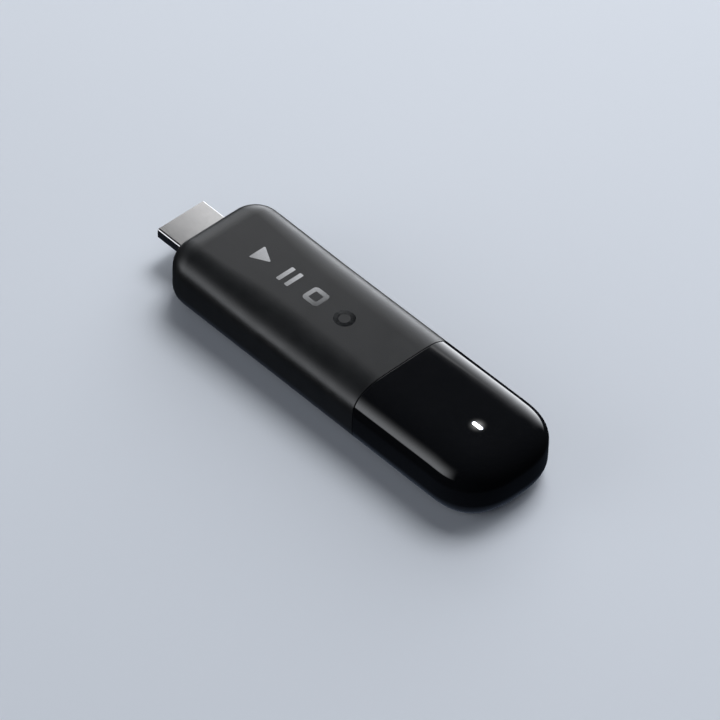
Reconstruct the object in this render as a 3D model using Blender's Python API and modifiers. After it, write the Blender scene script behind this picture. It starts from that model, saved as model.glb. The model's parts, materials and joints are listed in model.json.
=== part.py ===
"""Streaming media stick: a pocket-sized player that plugs straight into a display's socket.

A matte tubular sleeve and a gloss end cap close round a moulded tray that carries the circuit board.
The board holds the display plug at one end, a power socket, a status light and a reset switch at the other.

Frame: +X runs from the plug to the rounded end, +Z is up, and the origin is the middle of the
underside of the whole stick, plug included. The power socket and the reset button are on the +Y side.
"""

import math

import bmesh
import bpy
from mathutils import Vector

MM = 0.001

# ---------------------------------------------------------------- outer body
BODY_LENGTH = 99.0 * MM
BODY_WIDTH = 29.4 * MM
BODY_HEIGHT = 15.4 * MM
TOP_RADIUS = 5.8 * MM
BOTTOM_RADIUS = 4.9 * MM
PLUG_END_CORNER = 7.2 * MM
ROUND_END_DEPTH = 13.6 * MM
ROUND_END_POWER = 2.62
WALL = 1.5 * MM
CAP_LENGTH = 36.8 * MM
SEAM_GAP = 0.12 * MM

# ---------------------------------------------------------------- clearances
FIT = 0.1 * MM
SOLDER_GAP = 0.05 * MM
PART_GAP = 0.5 * MM
JOINED = 0.3 * MM
PAST = 1.0 * MM
WELD = 0.001 * MM

# ---------------------------------------------------------------- cap spigot and its snaps
SPIGOT_LENGTH = 3.5 * MM
SPIGOT_WALL = 1.0 * MM
SPIGOT_ROOT = 2.6 * MM
SNAP_WIDTH = 4.0 * MM
SNAP_LENGTH = 1.1 * MM
SNAP_HEIGHT = 0.45 * MM
SNAP_OFFSET = 5.5 * MM

# ---------------------------------------------------------------- display plug
PLUG_EXPOSED = 9.2 * MM
PLUG_WIDTH = 13.9 * MM
PLUG_HEIGHT = 4.45 * MM
PLUG_SLANT_RUN = 1.7 * MM
PLUG_SLANT_RISE = 2.0 * MM
PLUG_CORNER = 0.5 * MM
PLUG_SHEET = 0.3 * MM
PLUG_INSIDE = 3.7 * MM
PLUG_TAB_LENGTH = 2.4 * MM
PLUG_TAB_WIDTH = 1.2 * MM
SLOT_WIDTH = 10.8 * MM
SLOT_HEIGHT = 2.0 * MM
SLOT_DEPTH = 8.4 * MM
INSULATOR_SETBACK = 0.35 * MM
PIN_PITCH = 1.0 * MM
PIN_WIDTH = 0.4 * MM
PIN_SHEET = 0.2 * MM
PIN_TIP_SETBACK = 1.3 * MM
PIN_BOW = 0.5 * MM
PIN_FLAT = 0.6 * MM
PIN_BOW_FALL = 0.8 * MM
PIN_BOW_CREST = 0.7 * MM
PIN_BOW_RISE = 2.1 * MM
PIN_TAIL = 1.8 * MM
PIN_BEND = 0.2 * MM
UPPER_PINS = 10
LOWER_PINS = 9

# ---------------------------------------------------------------- power socket
SOCKET_WIDTH = 7.5 * MM
SOCKET_HEIGHT = 2.45 * MM
SOCKET_DEPTH = 5.4 * MM
SOCKET_RISE = 0.5 * MM
SOCKET_SLANT_RUN = 0.75 * MM
SOCKET_SLANT_RISE = 0.8 * MM
SOCKET_CORNER = 0.25 * MM
SOCKET_SHEET = 0.25 * MM
SOCKET_MOUTH_MARGIN = 0.25 * MM
SOCKET_BASE_DEPTH = 1.5 * MM
TONGUE_WIDTH = 3.9 * MM
TONGUE_THICKNESS = 0.6 * MM
TONGUE_SETBACK = 0.6 * MM
TONGUE_DROP = 0.1 * MM
POWER_PINS = 5
POWER_PIN_PITCH = 0.65 * MM
POWER_PIN_WIDTH = 0.35 * MM
POWER_PIN_SHEET = 0.12 * MM
POWER_PIN_RISE = 0.45 * MM
POWER_PIN_TAIL = 1.6 * MM
RECESS_WIDTH = 11.6 * MM
RECESS_HEIGHT = 4.5 * MM
RECESS_DEPTH = 0.7 * MM

# ---------------------------------------------------------------- reset button and switch
RESET_FROM_ROUND_END = 16.2 * MM
SOCKET_FROM_RESET = 9.4 * MM
BUTTON_DIAMETER = 2.2 * MM
BUTTON_FLANGE_DIAMETER = 3.4 * MM
BUTTON_FLANGE = 0.5 * MM
BUTTON_SETBACK = 0.15 * MM
BUTTON_TRAVEL = 0.25 * MM
SWITCH_LENGTH = 4.0 * MM
SWITCH_DEPTH = 2.6 * MM
SWITCH_HEIGHT = 1.7 * MM
SWITCH_COVER = 0.2 * MM
PLUNGER_WIDTH = 1.8 * MM
PLUNGER_HEIGHT = 0.8 * MM
PLUNGER_REACH = 0.7 * MM
PLUNGER_HELD = 0.8 * MM

# ---------------------------------------------------------------- status light
LIGHT_FROM_ROUND_END = 12.7 * MM
LIGHT_Y = -1.1 * MM
LIGHT_LENGTH = 3.0 * MM
LIGHT_WIDTH = 1.0 * MM
LIGHT_FLANGE = 0.8 * MM
LIGHT_FLANGE_MARGIN = 0.8 * MM
LED_LENGTH = 1.6 * MM
LED_WIDTH = 0.8 * MM
LED_HEIGHT = 0.6 * MM

# ---------------------------------------------------------------- circuit board and what it carries
BOARD_THICKNESS = 1.0 * MM
BOARD_EDGE_CLEARANCE = 0.3 * MM
BOARD_FROM_ROUND_END = 9.6 * MM
BOARD_CORNER = 0.3 * MM
SHIELD_SHEET = 0.2 * MM
TOP_SHIELD_HEIGHT = 2.0 * MM
BOTTOM_SHIELD_HEIGHT = 1.4 * MM
SHIELD_EDGE = 1.2 * MM
PROCESSOR_SIDE = 12.0 * MM
PROCESSOR_HEIGHT = 1.1 * MM
PROCESSOR_FROM_SHIELD_START = 12.0 * MM
MANAGER_SIDE = 5.0 * MM
MANAGER_HEIGHT = 0.8 * MM
MANAGER_FROM_PROCESSOR = 11.0 * MM
MANAGER_OFFSET = 3.0 * MM
MEMORY_LENGTH = 7.5 * MM
MEMORY_WIDTH = 13.0 * MM
MEMORY_HEIGHT = 0.9 * MM
MEMORY_FROM_SHIELD_START = 8.0 * MM
STORAGE_LENGTH = 11.5 * MM
STORAGE_WIDTH = 13.0 * MM
STORAGE_HEIGHT = 0.9 * MM
STORAGE_FROM_MEMORY = 13.0 * MM
RADIO_LENGTH = 12.0 * MM
RADIO_WIDTH = 10.0 * MM
RADIO_HEIGHT = 1.7 * MM
CRYSTAL_LENGTH = 3.2 * MM
CRYSTAL_WIDTH = 2.5 * MM
CRYSTAL_HEIGHT = 0.8 * MM
CRYSTAL_OFFSET = 4.0 * MM
INDUCTOR_SIDE = 3.0 * MM
INDUCTOR_HEIGHT = 1.6 * MM
TOP_PAD_THICKNESS = 0.5 * MM
BOTTOM_PAD_THICKNESS = 0.45 * MM
BOTTOM_PLATE_THICKNESS = 0.4 * MM
PAD_MARGIN = 2.0 * MM
PROCESSOR_PAD_MARGIN = 0.5 * MM
SPREADER_GROOVES = 5
GROOVE_WIDTH = 1.0 * MM
GROOVE_DEPTH = 0.5 * MM
ANTENNA_SHEET = 0.25 * MM
ANTENNA_LENGTH = 7.0 * MM
ANTENNA_HEIGHT = 3.4 * MM
ANTENNA_STRIP = 0.8 * MM
ANTENNA_INNER_END = 2.6 * MM

# ---------------------------------------------------------------- tray and screws
TRAY_WALL = 1.0 * MM
TRAY_CLEARANCE = 0.2 * MM
RAIL_WIDTH = 1.2 * MM
RAIL_FROM_CENTRE = 6.0 * MM
SCREW_SHANK_DIAMETER = 1.4 * MM
SCREW_HEAD_DIAMETER = 2.8 * MM
SCREW_HEAD_HEIGHT = 0.8 * MM
SCREW_LENGTH = 2.6 * MM
SCREW_FROM_BOARD_EDGE = 2.0 * MM
SCREW_SLOT_WIDTH = 0.35 * MM
SCREW_SLOT_DEPTH = 0.4 * MM
BOSS_WALL = 0.7 * MM

# ---------------------------------------------------------------- smoothness of curves
END_STEPS = 26
CORNER_STEPS = 8
TOP_STEPS = 6
BOTTOM_STEPS = 5
ROUND_STEPS = 24
SMALL_ARC_STEPS = 3
PILL_ARC_STEPS = 8

# ---------------------------------------------------------------- places worked out from the sizes
STICK_LENGTH = BODY_LENGTH + PLUG_EXPOSED
PLUG_TIP_X = -STICK_LENGTH / 2
PLUG_END_X = PLUG_TIP_X + PLUG_EXPOSED
ROUND_END_X = STICK_LENGTH / 2
SEAM_X = ROUND_END_X - CAP_LENGTH
HALF_WIDTH = BODY_WIDTH / 2

SPIGOT_INSET = WALL + FIT
SPIGOT_START_X = SEAM_X - SPIGOT_LENGTH
TRAY_INSET = SPIGOT_INSET + SPIGOT_WALL + TRAY_CLEARANCE
TRAY_FLOOR_TOP = TRAY_INSET + TRAY_WALL

BOTTOM_PLATE_LOW = TRAY_FLOOR_TOP + SOLDER_GAP
BOTTOM_PAD_LOW = BOTTOM_PLATE_LOW + BOTTOM_PLATE_THICKNESS + SOLDER_GAP
BOTTOM_SHIELD_LOW = BOTTOM_PAD_LOW + BOTTOM_PAD_THICKNESS + SOLDER_GAP
BOARD_BOTTOM = BOTTOM_SHIELD_LOW + BOTTOM_SHIELD_HEIGHT + SOLDER_GAP
BOARD_TOP = BOARD_BOTTOM + BOARD_THICKNESS
PLUG_CENTRE_HEIGHT = (BOARD_BOTTOM + BOARD_TOP) / 2
BOARD_HALF_WIDTH = HALF_WIDTH - TRAY_INSET - BOARD_EDGE_CLEARANCE
PLUG_REAR_X = PLUG_END_X + WALL + PLUG_INSIDE
BOARD_START_X = PLUG_REAR_X + BOARD_EDGE_CLEARANCE
BOARD_END_X = ROUND_END_X - BOARD_FROM_ROUND_END
PLUG_TABS_END_X = BOARD_START_X + PLUG_TAB_LENGTH

SCREW_Y = BOARD_HALF_WIDTH - SCREW_FROM_BOARD_EDGE
FRONT_SCREW_X = PLUG_TABS_END_X + PART_GAP + SCREW_HEAD_DIAMETER / 2
REAR_SCREW_X = SEAM_X + SCREW_HEAD_DIAMETER / 2
SHIELD_START_X = FRONT_SCREW_X + SCREW_HEAD_DIAMETER / 2 + PART_GAP
SHIELD_END_X = SPIGOT_START_X - PART_GAP
SHIELD_HALF_WIDTH = BOARD_HALF_WIDTH - SHIELD_EDGE
TOP_SHIELD_TOP = BOARD_TOP + SOLDER_GAP + TOP_SHIELD_HEIGHT

RESET_X = ROUND_END_X - RESET_FROM_ROUND_END
SOCKET_X = RESET_X - SOCKET_FROM_RESET
SOCKET_CENTRE_HEIGHT = PLUG_CENTRE_HEIGHT + SOCKET_RISE
SOCKET_MOUTH_Y = HALF_WIDTH - WALL - 2 * FIT
SOCKET_REAR_Y = SOCKET_MOUTH_Y - SOCKET_DEPTH
SOCKET_HALF_WIDTH = SOCKET_WIDTH / 2 + FIT
SOCKET_LOW = SOCKET_CENTRE_HEIGHT - SOCKET_HEIGHT / 2
SOCKET_TOP = SOCKET_CENTRE_HEIGHT + SOCKET_HEIGHT / 2

SWITCH_FRONT_Y = BOARD_HALF_WIDTH
SWITCH_LOW = BOARD_TOP + SOLDER_GAP
SWITCH_CENTRE_HEIGHT = SWITCH_LOW + SWITCH_HEIGHT / 2
SWITCH_COVER_LOW = SWITCH_LOW + SWITCH_HEIGHT + SOLDER_GAP
BUTTON_FACE_Y = HALF_WIDTH - BUTTON_SETBACK

INDUCTOR_Y = SOCKET_REAR_Y - PART_GAP - INDUCTOR_SIDE / 2
INDUCTOR_FROM_SOCKET = SOCKET_HALF_WIDTH + PART_GAP + INDUCTOR_SIDE / 2
RADIO_X = REAR_SCREW_X + SCREW_HEAD_DIAMETER / 2 + PART_GAP + RADIO_LENGTH / 2
RADIO_Y = INDUCTOR_Y - INDUCTOR_SIDE / 2 - PART_GAP - RADIO_WIDTH / 2
CRYSTAL_X = RADIO_X + RADIO_LENGTH / 2 + PART_GAP + CRYSTAL_LENGTH / 2
PROCESSOR_X = SHIELD_START_X + PROCESSOR_FROM_SHIELD_START
MEMORY_X = SHIELD_START_X + MEMORY_FROM_SHIELD_START

LIGHT_X = ROUND_END_X - LIGHT_FROM_ROUND_END
LED_TOP = BOARD_TOP + SOLDER_GAP + LED_HEIGHT


# ================================================================ scene and materials
def clear_scene():
    """Removes every object, so the part starts from an empty scene."""
    for obj in list(bpy.data.objects):
        bpy.data.objects.remove(obj)


def new_collection(name):
    collection = bpy.data.collections.new(name)
    bpy.context.scene.collection.children.link(collection)
    return collection


def new_material(name, colour, roughness, metallic=0.0):
    """A Principled material. The colour is linear red, green and blue."""
    material = bpy.data.materials.new(name)
    material.use_nodes = True
    shader = material.node_tree.nodes["Principled BSDF"]
    shader.inputs["Base Color"].default_value = (*colour, 1.0)
    shader.inputs["Roughness"].default_value = roughness
    shader.inputs["Metallic"].default_value = metallic
    material.diffuse_color = (*colour, 1.0)
    return material


clear_scene()
PARTS = new_collection("streaming_stick")
CUTTERS = new_collection("cutters")

MATTE_SHELL = new_material("matte_charcoal_plastic", (0.030, 0.031, 0.033), 0.45)
GLOSS_SHELL = new_material("gloss_black_plastic", (0.004, 0.004, 0.005), 0.08)
CLEAR_LENS = new_material("milky_light_guide", (0.85, 0.87, 0.90), 0.3)
NICKEL = new_material("nickel_plated_steel", (0.55, 0.55, 0.54), 0.3, 1.0)
BLACK_MOULDING = new_material("black_connector_moulding", (0.012, 0.012, 0.013), 0.5)
GOLD = new_material("gold_plated_contact", (0.90, 0.62, 0.25), 0.25, 1.0)
BOARD_GREEN = new_material("green_circuit_board", (0.01, 0.09, 0.04), 0.4)
CHIP_BLACK = new_material("black_chip_moulding", (0.015, 0.015, 0.016), 0.55)
SHIELD_TIN = new_material("tinned_shield_sheet", (0.60, 0.60, 0.58), 0.35, 1.0)
ALUMINIUM = new_material("aluminium_spreader", (0.65, 0.66, 0.67), 0.4, 1.0)
PAD_GREY = new_material("grey_thermal_pad", (0.22, 0.26, 0.30), 0.8)
FERRITE = new_material("dark_ferrite", (0.05, 0.05, 0.055), 0.6)
TRAY_GREY = new_material("dark_grey_tray_moulding", (0.05, 0.05, 0.05), 0.6)
SCREW_STEEL = new_material("black_zinc_screw", (0.10, 0.10, 0.11), 0.4, 1.0)


# ================================================================ shape helpers
def add_object(name, shape, material=None, location=(0, 0, 0), rotation=(0, 0, 0)):
    """Links a bmesh as a named object. Without a material it is a hidden cutter or joining shape."""
    mesh = bpy.data.meshes.new(name)
    bmesh.ops.recalc_face_normals(shape, faces=shape.faces)
    shape.to_mesh(mesh)
    shape.free()
    obj = bpy.data.objects.new(name, mesh)
    obj.location = location
    obj.rotation_euler = rotation
    if material is None:
        obj.hide_render = True
        obj.display_type = "WIRE"
        CUTTERS.objects.link(obj)
    else:
        mesh.materials.append(material)
        PARTS.objects.link(obj)
    return obj


def boolean(target, other, operation):
    modifier = target.modifiers.new(other.name, "BOOLEAN")
    modifier.operation = operation
    modifier.object = other


def cut(target, *cutters):
    for cutter in cutters:
        boolean(target, cutter, "DIFFERENCE")


def join(target, *additions):
    for addition in additions:
        boolean(target, addition, "UNION")


def smooth(obj, degrees=35):
    obj.data.shade_smooth()
    obj.data.set_sharp_from_angle(angle=math.radians(degrees))


def box(name, low, high, material=None):
    """A block between two opposite corners."""
    low, high = Vector(low), Vector(high)
    shape = bmesh.new()
    bmesh.ops.create_cube(shape, size=1.0)
    bmesh.ops.scale(shape, vec=high - low, verts=shape.verts)
    return add_object(name, shape, material, location=(low + high) / 2)


def several_boxes(name, corners):
    """One cutter made of separate blocks, each given by its low and high corners."""
    shape = bmesh.new()
    for low, high in corners:
        low, high = Vector(low), Vector(high)
        made = bmesh.ops.create_cube(shape, size=1.0)["verts"]
        bmesh.ops.scale(shape, vec=high - low, verts=made)
        bmesh.ops.translate(shape, vec=(low + high) / 2, verts=made)
    return add_object(name, shape)


def cylinder(name, radius, low_end, high_end, axis="Z", material=None):
    """A round bar whose axis runs along Y or Z, between two points on it."""
    low_end, high_end = Vector(low_end), Vector(high_end)
    shape = bmesh.new()
    length = (high_end - low_end).length
    bmesh.ops.create_cone(
        shape, cap_ends=True, segments=ROUND_STEPS, radius1=radius, radius2=radius, depth=length
    )
    rotation = (math.pi / 2, 0, 0) if axis == "Y" else (0, 0, 0)
    return add_object(name, shape, material, (low_end + high_end) / 2, rotation)


def rectangle(width, height):
    """Corners of a rectangle round the origin, counter-clockwise."""
    return [
        (-width / 2, -height / 2),
        (width / 2, -height / 2),
        (width / 2, height / 2),
        (-width / 2, height / 2),
    ]


def rounded(corners, radius, steps=SMALL_ARC_STEPS):
    """The outline with each corner replaced by an arc of that radius."""
    outline = []
    for index, corner in enumerate(corners):
        here = Vector(corner)
        before = (Vector(corners[index - 1]) - here).normalized()
        after = (Vector(corners[(index + 1) % len(corners)]) - here).normalized()
        half_angle = before.angle(after) / 2
        start = here + before * radius / math.tan(half_angle)
        end = here + after * radius / math.tan(half_angle)
        centre = here + (before + after).normalized() * radius / math.sin(half_angle)
        for step in range(steps + 1):
            spoke = start.lerp(end, step / steps) - centre
            outline.append(tuple(centre + spoke.normalized() * radius))
    return outline


def pill(length, width):
    """A slot-shaped outline with fully round ends, long side along X."""
    just_under_half = width / 2 * 0.999
    return rounded(rectangle(length, width), just_under_half, PILL_ARC_STEPS)


TURN = {
    "X": (math.pi / 2, 0, math.pi / 2),
    "Y": (math.pi / 2, 0, 0),
    "Z": (0, 0, 0),
}


def outline_curve(name, outlines, thickness, fill_mode="BOTH"):
    """A flat 2D curve drawn out to a thickness. Any outline after the first is a hole in it."""
    curve = bpy.data.curves.new(name, "CURVE")
    curve.dimensions = "2D"
    curve.fill_mode = fill_mode
    curve.extrude = thickness / 2
    for outline in outlines:
        spline = curve.splines.new("POLY")
        spline.points.add(len(outline) - 1)
        for point, (u, v) in zip(spline.points, outline):
            point.co = (u, v, 0, 1)
        spline.use_cyclic_u = True
    return bpy.data.objects.new(name, curve)


def drawn_out(outline, thickness, fill_mode="BOTH"):
    """The bmesh of an outline drawn out along Z, half its thickness to each side, with whole caps."""
    guide = outline_curve("outline", [outline], thickness, fill_mode)
    bpy.context.scene.collection.objects.link(guide)
    evaluated = guide.evaluated_get(bpy.context.evaluated_depsgraph_get())
    mesh = bpy.data.meshes.new_from_object(evaluated)
    shape = bmesh.new()
    shape.from_mesh(mesh)
    bmesh.ops.remove_doubles(shape, verts=shape.verts, dist=WELD)
    for height in (-thickness / 2, thickness / 2):
        cap = [f for f in shape.faces if all(abs(v.co.z - height) < WELD for v in f.verts)]
        if cap:
            bmesh.ops.dissolve_faces(shape, faces=cap)
    bpy.data.objects.remove(guide)
    bpy.data.meshes.remove(mesh)
    return shape


def prism(name, outline, depth, location, axis="Z", material=None, fill_mode="BOTH"):
    """A flat outline drawn out along an axis, half its depth to each side of location.

    Along Z the outline's two numbers are x and y, along X they are y and z, along Y they are x and z.
    """
    shape = drawn_out(outline, depth, fill_mode)
    return add_object(name, shape, material, location, TURN[axis])


def flat_plate(name, outlines, thickness, location, axis, material):
    """A sheet cut to one outline, with any further outlines as holes in it, left as a curve."""
    obj = outline_curve(name, outlines, thickness)
    obj.data.materials.append(material)
    obj.location = location
    obj.rotation_euler = TURN[axis]
    PARTS.objects.link(obj)
    return obj


def solidify(obj, thickness):
    """Gives an open surface a wall that grows inwards."""
    modifier = obj.modifiers.new("wall", "SOLIDIFY")
    modifier.thickness = thickness
    modifier.offset = -1.0
    modifier.use_even_offset = True
    modifier.use_quality_normals = True


# ================================================================ the stick's own rounded form
def body_outline(inset):
    """The body seen from above, counter-clockwise: a squarish rounded end and two plug-end corners."""
    points = []
    for step in range(END_STEPS + 1):
        angle = math.pi * (step / END_STEPS - 0.5)
        along = max(math.cos(angle), 0.0) ** (2 / ROUND_END_POWER)
        across = abs(math.sin(angle)) ** (2 / ROUND_END_POWER)
        x = ROUND_END_X - ROUND_END_DEPTH + (ROUND_END_DEPTH - inset) * along
        y = math.copysign((HALF_WIDTH - inset) * across, angle)
        points.append((x, y))
    for side, first_angle in ((1, math.pi / 2), (-1, math.pi)):
        for step in range(CORNER_STEPS + 1):
            angle = first_angle + math.pi / 2 * step / CORNER_STEPS
            radius = PLUG_END_CORNER - inset
            x = PLUG_END_X + PLUG_END_CORNER + radius * math.cos(angle)
            y = side * (HALF_WIDTH - PLUG_END_CORNER) + radius * math.sin(angle)
            points.append((x, y))
    return points


def round_rim(shape, level, radius, steps):
    """Rounds the rim of the blank at that height."""
    rim = [e for e in shape.edges if all(abs(v.co.z - level) < 1e-7 for v in e.verts)]
    bmesh.ops.bevel(
        shape,
        geom=rim,
        offset=radius,
        offset_type="OFFSET",
        segments=steps,
        profile=0.5,
        affect="EDGES",
        clamp_overlap=False,
    )


def body_blank(inset):
    """The whole rounded body as a closed form, taken in by inset on every side."""
    low, high = inset, BODY_HEIGHT - inset
    shape = drawn_out(body_outline(inset), high - low)
    bmesh.ops.translate(shape, vec=(0, 0, BODY_HEIGHT / 2), verts=shape.verts)
    bmesh.ops.recalc_face_normals(shape, faces=shape.faces)
    round_rim(shape, high, TOP_RADIUS - inset, TOP_STEPS)
    round_rim(shape, low, BOTTOM_RADIUS - inset, BOTTOM_STEPS)
    return shape


def keep_side(shape, point, direction):
    """Cuts the form open at a plane and keeps the side that direction points to."""
    everything = list(shape.verts) + list(shape.edges) + list(shape.faces)
    bmesh.ops.bisect_plane(
        shape, geom=everything, dist=1e-9, plane_co=point, plane_no=direction, clear_inner=True
    )


def body_shell(name, inset, thickness, material=None, start_x=None, end_x=None, top_z=None):
    """A hollow stretch of the body's form, open wherever a limit cuts it."""
    shape = body_blank(inset)
    if start_x is not None:
        keep_side(shape, (start_x, 0, 0), (1, 0, 0))
    if end_x is not None:
        keep_side(shape, (end_x, 0, 0), (-1, 0, 0))
    if top_z is not None:
        keep_side(shape, (0, 0, top_z), (0, 0, -1))
    obj = add_object(name, shape, material)
    solidify(obj, thickness)
    return obj


# ================================================================ casing
def plug_section(grown):
    """The display plug's D-like section, y and z about its centre, grown outwards by that much."""
    half_width = PLUG_WIDTH / 2 + grown
    half_height = PLUG_HEIGHT / 2 + grown
    corners = [
        (-half_width + PLUG_SLANT_RUN, -half_height),
        (half_width - PLUG_SLANT_RUN, -half_height),
        (half_width, -half_height + PLUG_SLANT_RISE),
        (half_width, half_height),
        (-half_width, half_height),
        (-half_width, -half_height + PLUG_SLANT_RISE),
    ]
    return rounded(corners, PLUG_CORNER + grown)


def socket_section(grown):
    """The power socket's section, x and z about its centre, grown outwards by that much."""
    half_width = SOCKET_WIDTH / 2 + grown
    half_height = SOCKET_HEIGHT / 2 + grown
    corners = [
        (-half_width + SOCKET_SLANT_RUN, -half_height),
        (half_width - SOCKET_SLANT_RUN, -half_height),
        (half_width, -half_height + SOCKET_SLANT_RISE),
        (half_width, half_height),
        (-half_width, half_height),
        (-half_width, -half_height + SOCKET_SLANT_RISE),
    ]
    return rounded(corners, max(SOCKET_CORNER + grown, 0.5 * SOCKET_CORNER))


def snap_places():
    """Each snap's side of the middle, and whether it is on the roof or the floor."""
    return [(side, roof) for roof in (True, False) for side in (-1, 1)]


def snap_block(side, roof, grown):
    """Corners of a snap on the spigot, or of its pocket in the sleeve when grown."""
    middle_x = SPIGOT_START_X + SPIGOT_LENGTH / 2
    face = BODY_HEIGHT - SPIGOT_INSET if roof else SPIGOT_INSET
    outward = 1 if roof else -1
    inner = face - outward * JOINED
    outer = face + outward * (SNAP_HEIGHT + grown)
    low_z, high_z = sorted((inner, outer))
    half_length, half_width = SNAP_LENGTH / 2 + grown, SNAP_WIDTH / 2 + grown
    low = (middle_x - half_length, side * SNAP_OFFSET - half_width, low_z)
    high = (middle_x + half_length, side * SNAP_OFFSET + half_width, high_z)
    return low, high


def add_matte_sleeve():
    """The matte tube: closed round the plug, open at the seam, with rails that the tray slides on."""
    end_x = SEAM_X - SEAM_GAP / 2
    sleeve = body_shell("matte_sleeve", 0, WALL, MATTE_SHELL, end_x=end_x)
    rail_end_x = SPIGOT_START_X - PART_GAP
    rail_start_x = PLUG_END_X + PLUG_END_CORNER
    rail_top = TRAY_INSET - FIT
    for side in (-1, 1):
        low_y, high_y = sorted((side * RAIL_FROM_CENTRE, side * (RAIL_FROM_CENTRE + RAIL_WIDTH)))
        floor_rail = box(
            f"floor_rail_{side}",
            (rail_start_x, low_y, WALL - JOINED),
            (rail_end_x, high_y, rail_top),
        )
        inner_y, outer_y = HALF_WIDTH - TRAY_INSET + FIT, HALF_WIDTH - WALL + JOINED
        low_y, high_y = sorted((side * inner_y, side * outer_y))
        side_rail = box(
            f"side_rail_{side}",
            (rail_start_x, low_y, BOARD_BOTTOM - RAIL_WIDTH),
            (rail_end_x, high_y, BOARD_BOTTOM),
        )
        join(sleeve, floor_rail, side_rail)
    aperture = prism(
        "plug_aperture",
        plug_section(FIT),
        WALL + 2 * PAST,
        (PLUG_END_X + WALL / 2, 0, PLUG_CENTRE_HEIGHT),
        "X",
    )
    pockets = several_boxes("snap_pockets", [snap_block(*place, FIT) for place in snap_places()])
    cut(sleeve, aperture, pockets)
    smooth(sleeve)
    return sleeve


def add_gloss_cap():
    """The gloss end cap with its spigot, snaps, light window, socket recess and button hole."""
    start_x = SEAM_X + SEAM_GAP / 2
    cap = body_shell("gloss_end_cap", 0, WALL, GLOSS_SHELL, start_x=start_x)
    root = body_shell(
        "spigot_root",
        WALL - JOINED,
        FIT + 0.7 * SPIGOT_WALL + JOINED,
        start_x=start_x + FIT,
        end_x=start_x + SPIGOT_ROOT,
    )
    spigot = body_shell(
        "spigot", SPIGOT_INSET, SPIGOT_WALL, start_x=SPIGOT_START_X, end_x=start_x + SPIGOT_ROOT / 2
    )
    snaps = several_boxes("snaps", [snap_block(*place, 0) for place in snap_places()])
    join(cap, root, spigot, snaps)

    assembly_slot = box(
        "assembly_slot",
        (SPIGOT_START_X - PAST, SOCKET_REAR_Y, min(SOCKET_LOW, BOARD_BOTTOM) - 2 * FIT),
        (start_x + SPIGOT_ROOT + PAST, HALF_WIDTH - WALL + FIT, SWITCH_COVER_LOW + 4 * FIT),
    )
    light_window = prism(
        "light_window",
        pill(LIGHT_LENGTH, LIGHT_WIDTH),
        WALL + 2 * PAST,
        (LIGHT_X, LIGHT_Y, BODY_HEIGHT - WALL / 2),
    )
    recess = prism(
        "socket_recess",
        pill(RECESS_WIDTH, RECESS_HEIGHT),
        RECESS_DEPTH + PAST,
        (SOCKET_X, HALF_WIDTH + (PAST - RECESS_DEPTH) / 2, SOCKET_CENTRE_HEIGHT),
        "Y",
    )
    mouth = prism(
        "socket_mouth",
        socket_section(SOCKET_MOUTH_MARGIN - SOCKET_SHEET),
        WALL + 2 * PAST,
        (SOCKET_X, HALF_WIDTH - WALL / 2, SOCKET_CENTRE_HEIGHT),
        "Y",
    )
    button_hole = cylinder(
        "button_hole",
        BUTTON_DIAMETER / 2 + FIT,
        (RESET_X, HALF_WIDTH - WALL - PAST, SWITCH_CENTRE_HEIGHT),
        (RESET_X, HALF_WIDTH + PAST, SWITCH_CENTRE_HEIGHT),
        "Y",
    )
    cut(cap, assembly_slot, light_window, recess, mouth, button_hole)
    smooth(cap)
    return cap


def add_light_guide():
    """The milky guide that carries the light from the board up to the cap's window."""
    roof = BODY_HEIGHT - WALL
    flange_top = roof - FIT
    outline = pill(LIGHT_LENGTH - 2 * FIT, LIGHT_WIDTH - 2 * FIT)
    low = LED_TOP + 2 * FIT
    guide = prism(
        "light_guide", outline, BODY_HEIGHT - low, (LIGHT_X, LIGHT_Y, (BODY_HEIGHT + low) / 2), "Z", CLEAR_LENS
    )
    flange = prism(
        "light_guide_flange",
        pill(LIGHT_LENGTH + 2 * LIGHT_FLANGE_MARGIN, LIGHT_WIDTH + 2 * LIGHT_FLANGE_MARGIN),
        LIGHT_FLANGE,
        (LIGHT_X, LIGHT_Y, flange_top - LIGHT_FLANGE / 2),
    )
    join(guide, flange)
    smooth(guide)


# ================================================================ display plug
def add_plug_shell():
    """The folded steel shell, open at both ends, with two tabs soldered to the board."""
    length = PLUG_REAR_X - PLUG_TIP_X
    shell = prism(
        "plug_shell",
        plug_section(0),
        length,
        ((PLUG_TIP_X + PLUG_REAR_X) / 2, 0, PLUG_CENTRE_HEIGHT),
        "X",
        NICKEL,
        fill_mode="NONE",
    )
    solidify(shell, PLUG_SHEET)
    tab_low = BOARD_TOP + SOLDER_GAP
    for side in (-1, 1):
        low_y, high_y = sorted(
            (side * (PLUG_WIDTH / 2 - PLUG_TAB_WIDTH), side * (PLUG_WIDTH / 2 - PLUG_SHEET / 2))
        )
        tab = box(
            f"plug_tab_{side}",
            (PLUG_REAR_X + FIT, low_y, tab_low),
            (PLUG_TABS_END_X, high_y, tab_low + PLUG_SHEET),
        )
        inner_y, outer_y = PLUG_WIDTH / 2 - 0.9 * PLUG_SHEET, PLUG_WIDTH / 2 - 0.1 * PLUG_SHEET
        low_y, high_y = sorted((side * inner_y, side * outer_y))
        strut = box(
            f"plug_tab_strut_{side}",
            (PLUG_REAR_X - JOINED, low_y, tab_low + 0.1 * PLUG_SHEET),
            (PLUG_REAR_X + 3 * FIT, high_y, tab_low + 0.9 * PLUG_SHEET),
        )
        join(shell, strut, tab)
    smooth(shell)


def pin_rows():
    """Each contact's place across the plug, and +1 for the upper row or -1 for the lower one."""
    rows = []
    for count, row in ((UPPER_PINS, 1), (LOWER_PINS, -1)):
        rows += [((index - (count - 1) / 2) * PIN_PITCH, row) for index in range(count)]
    return rows


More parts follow.
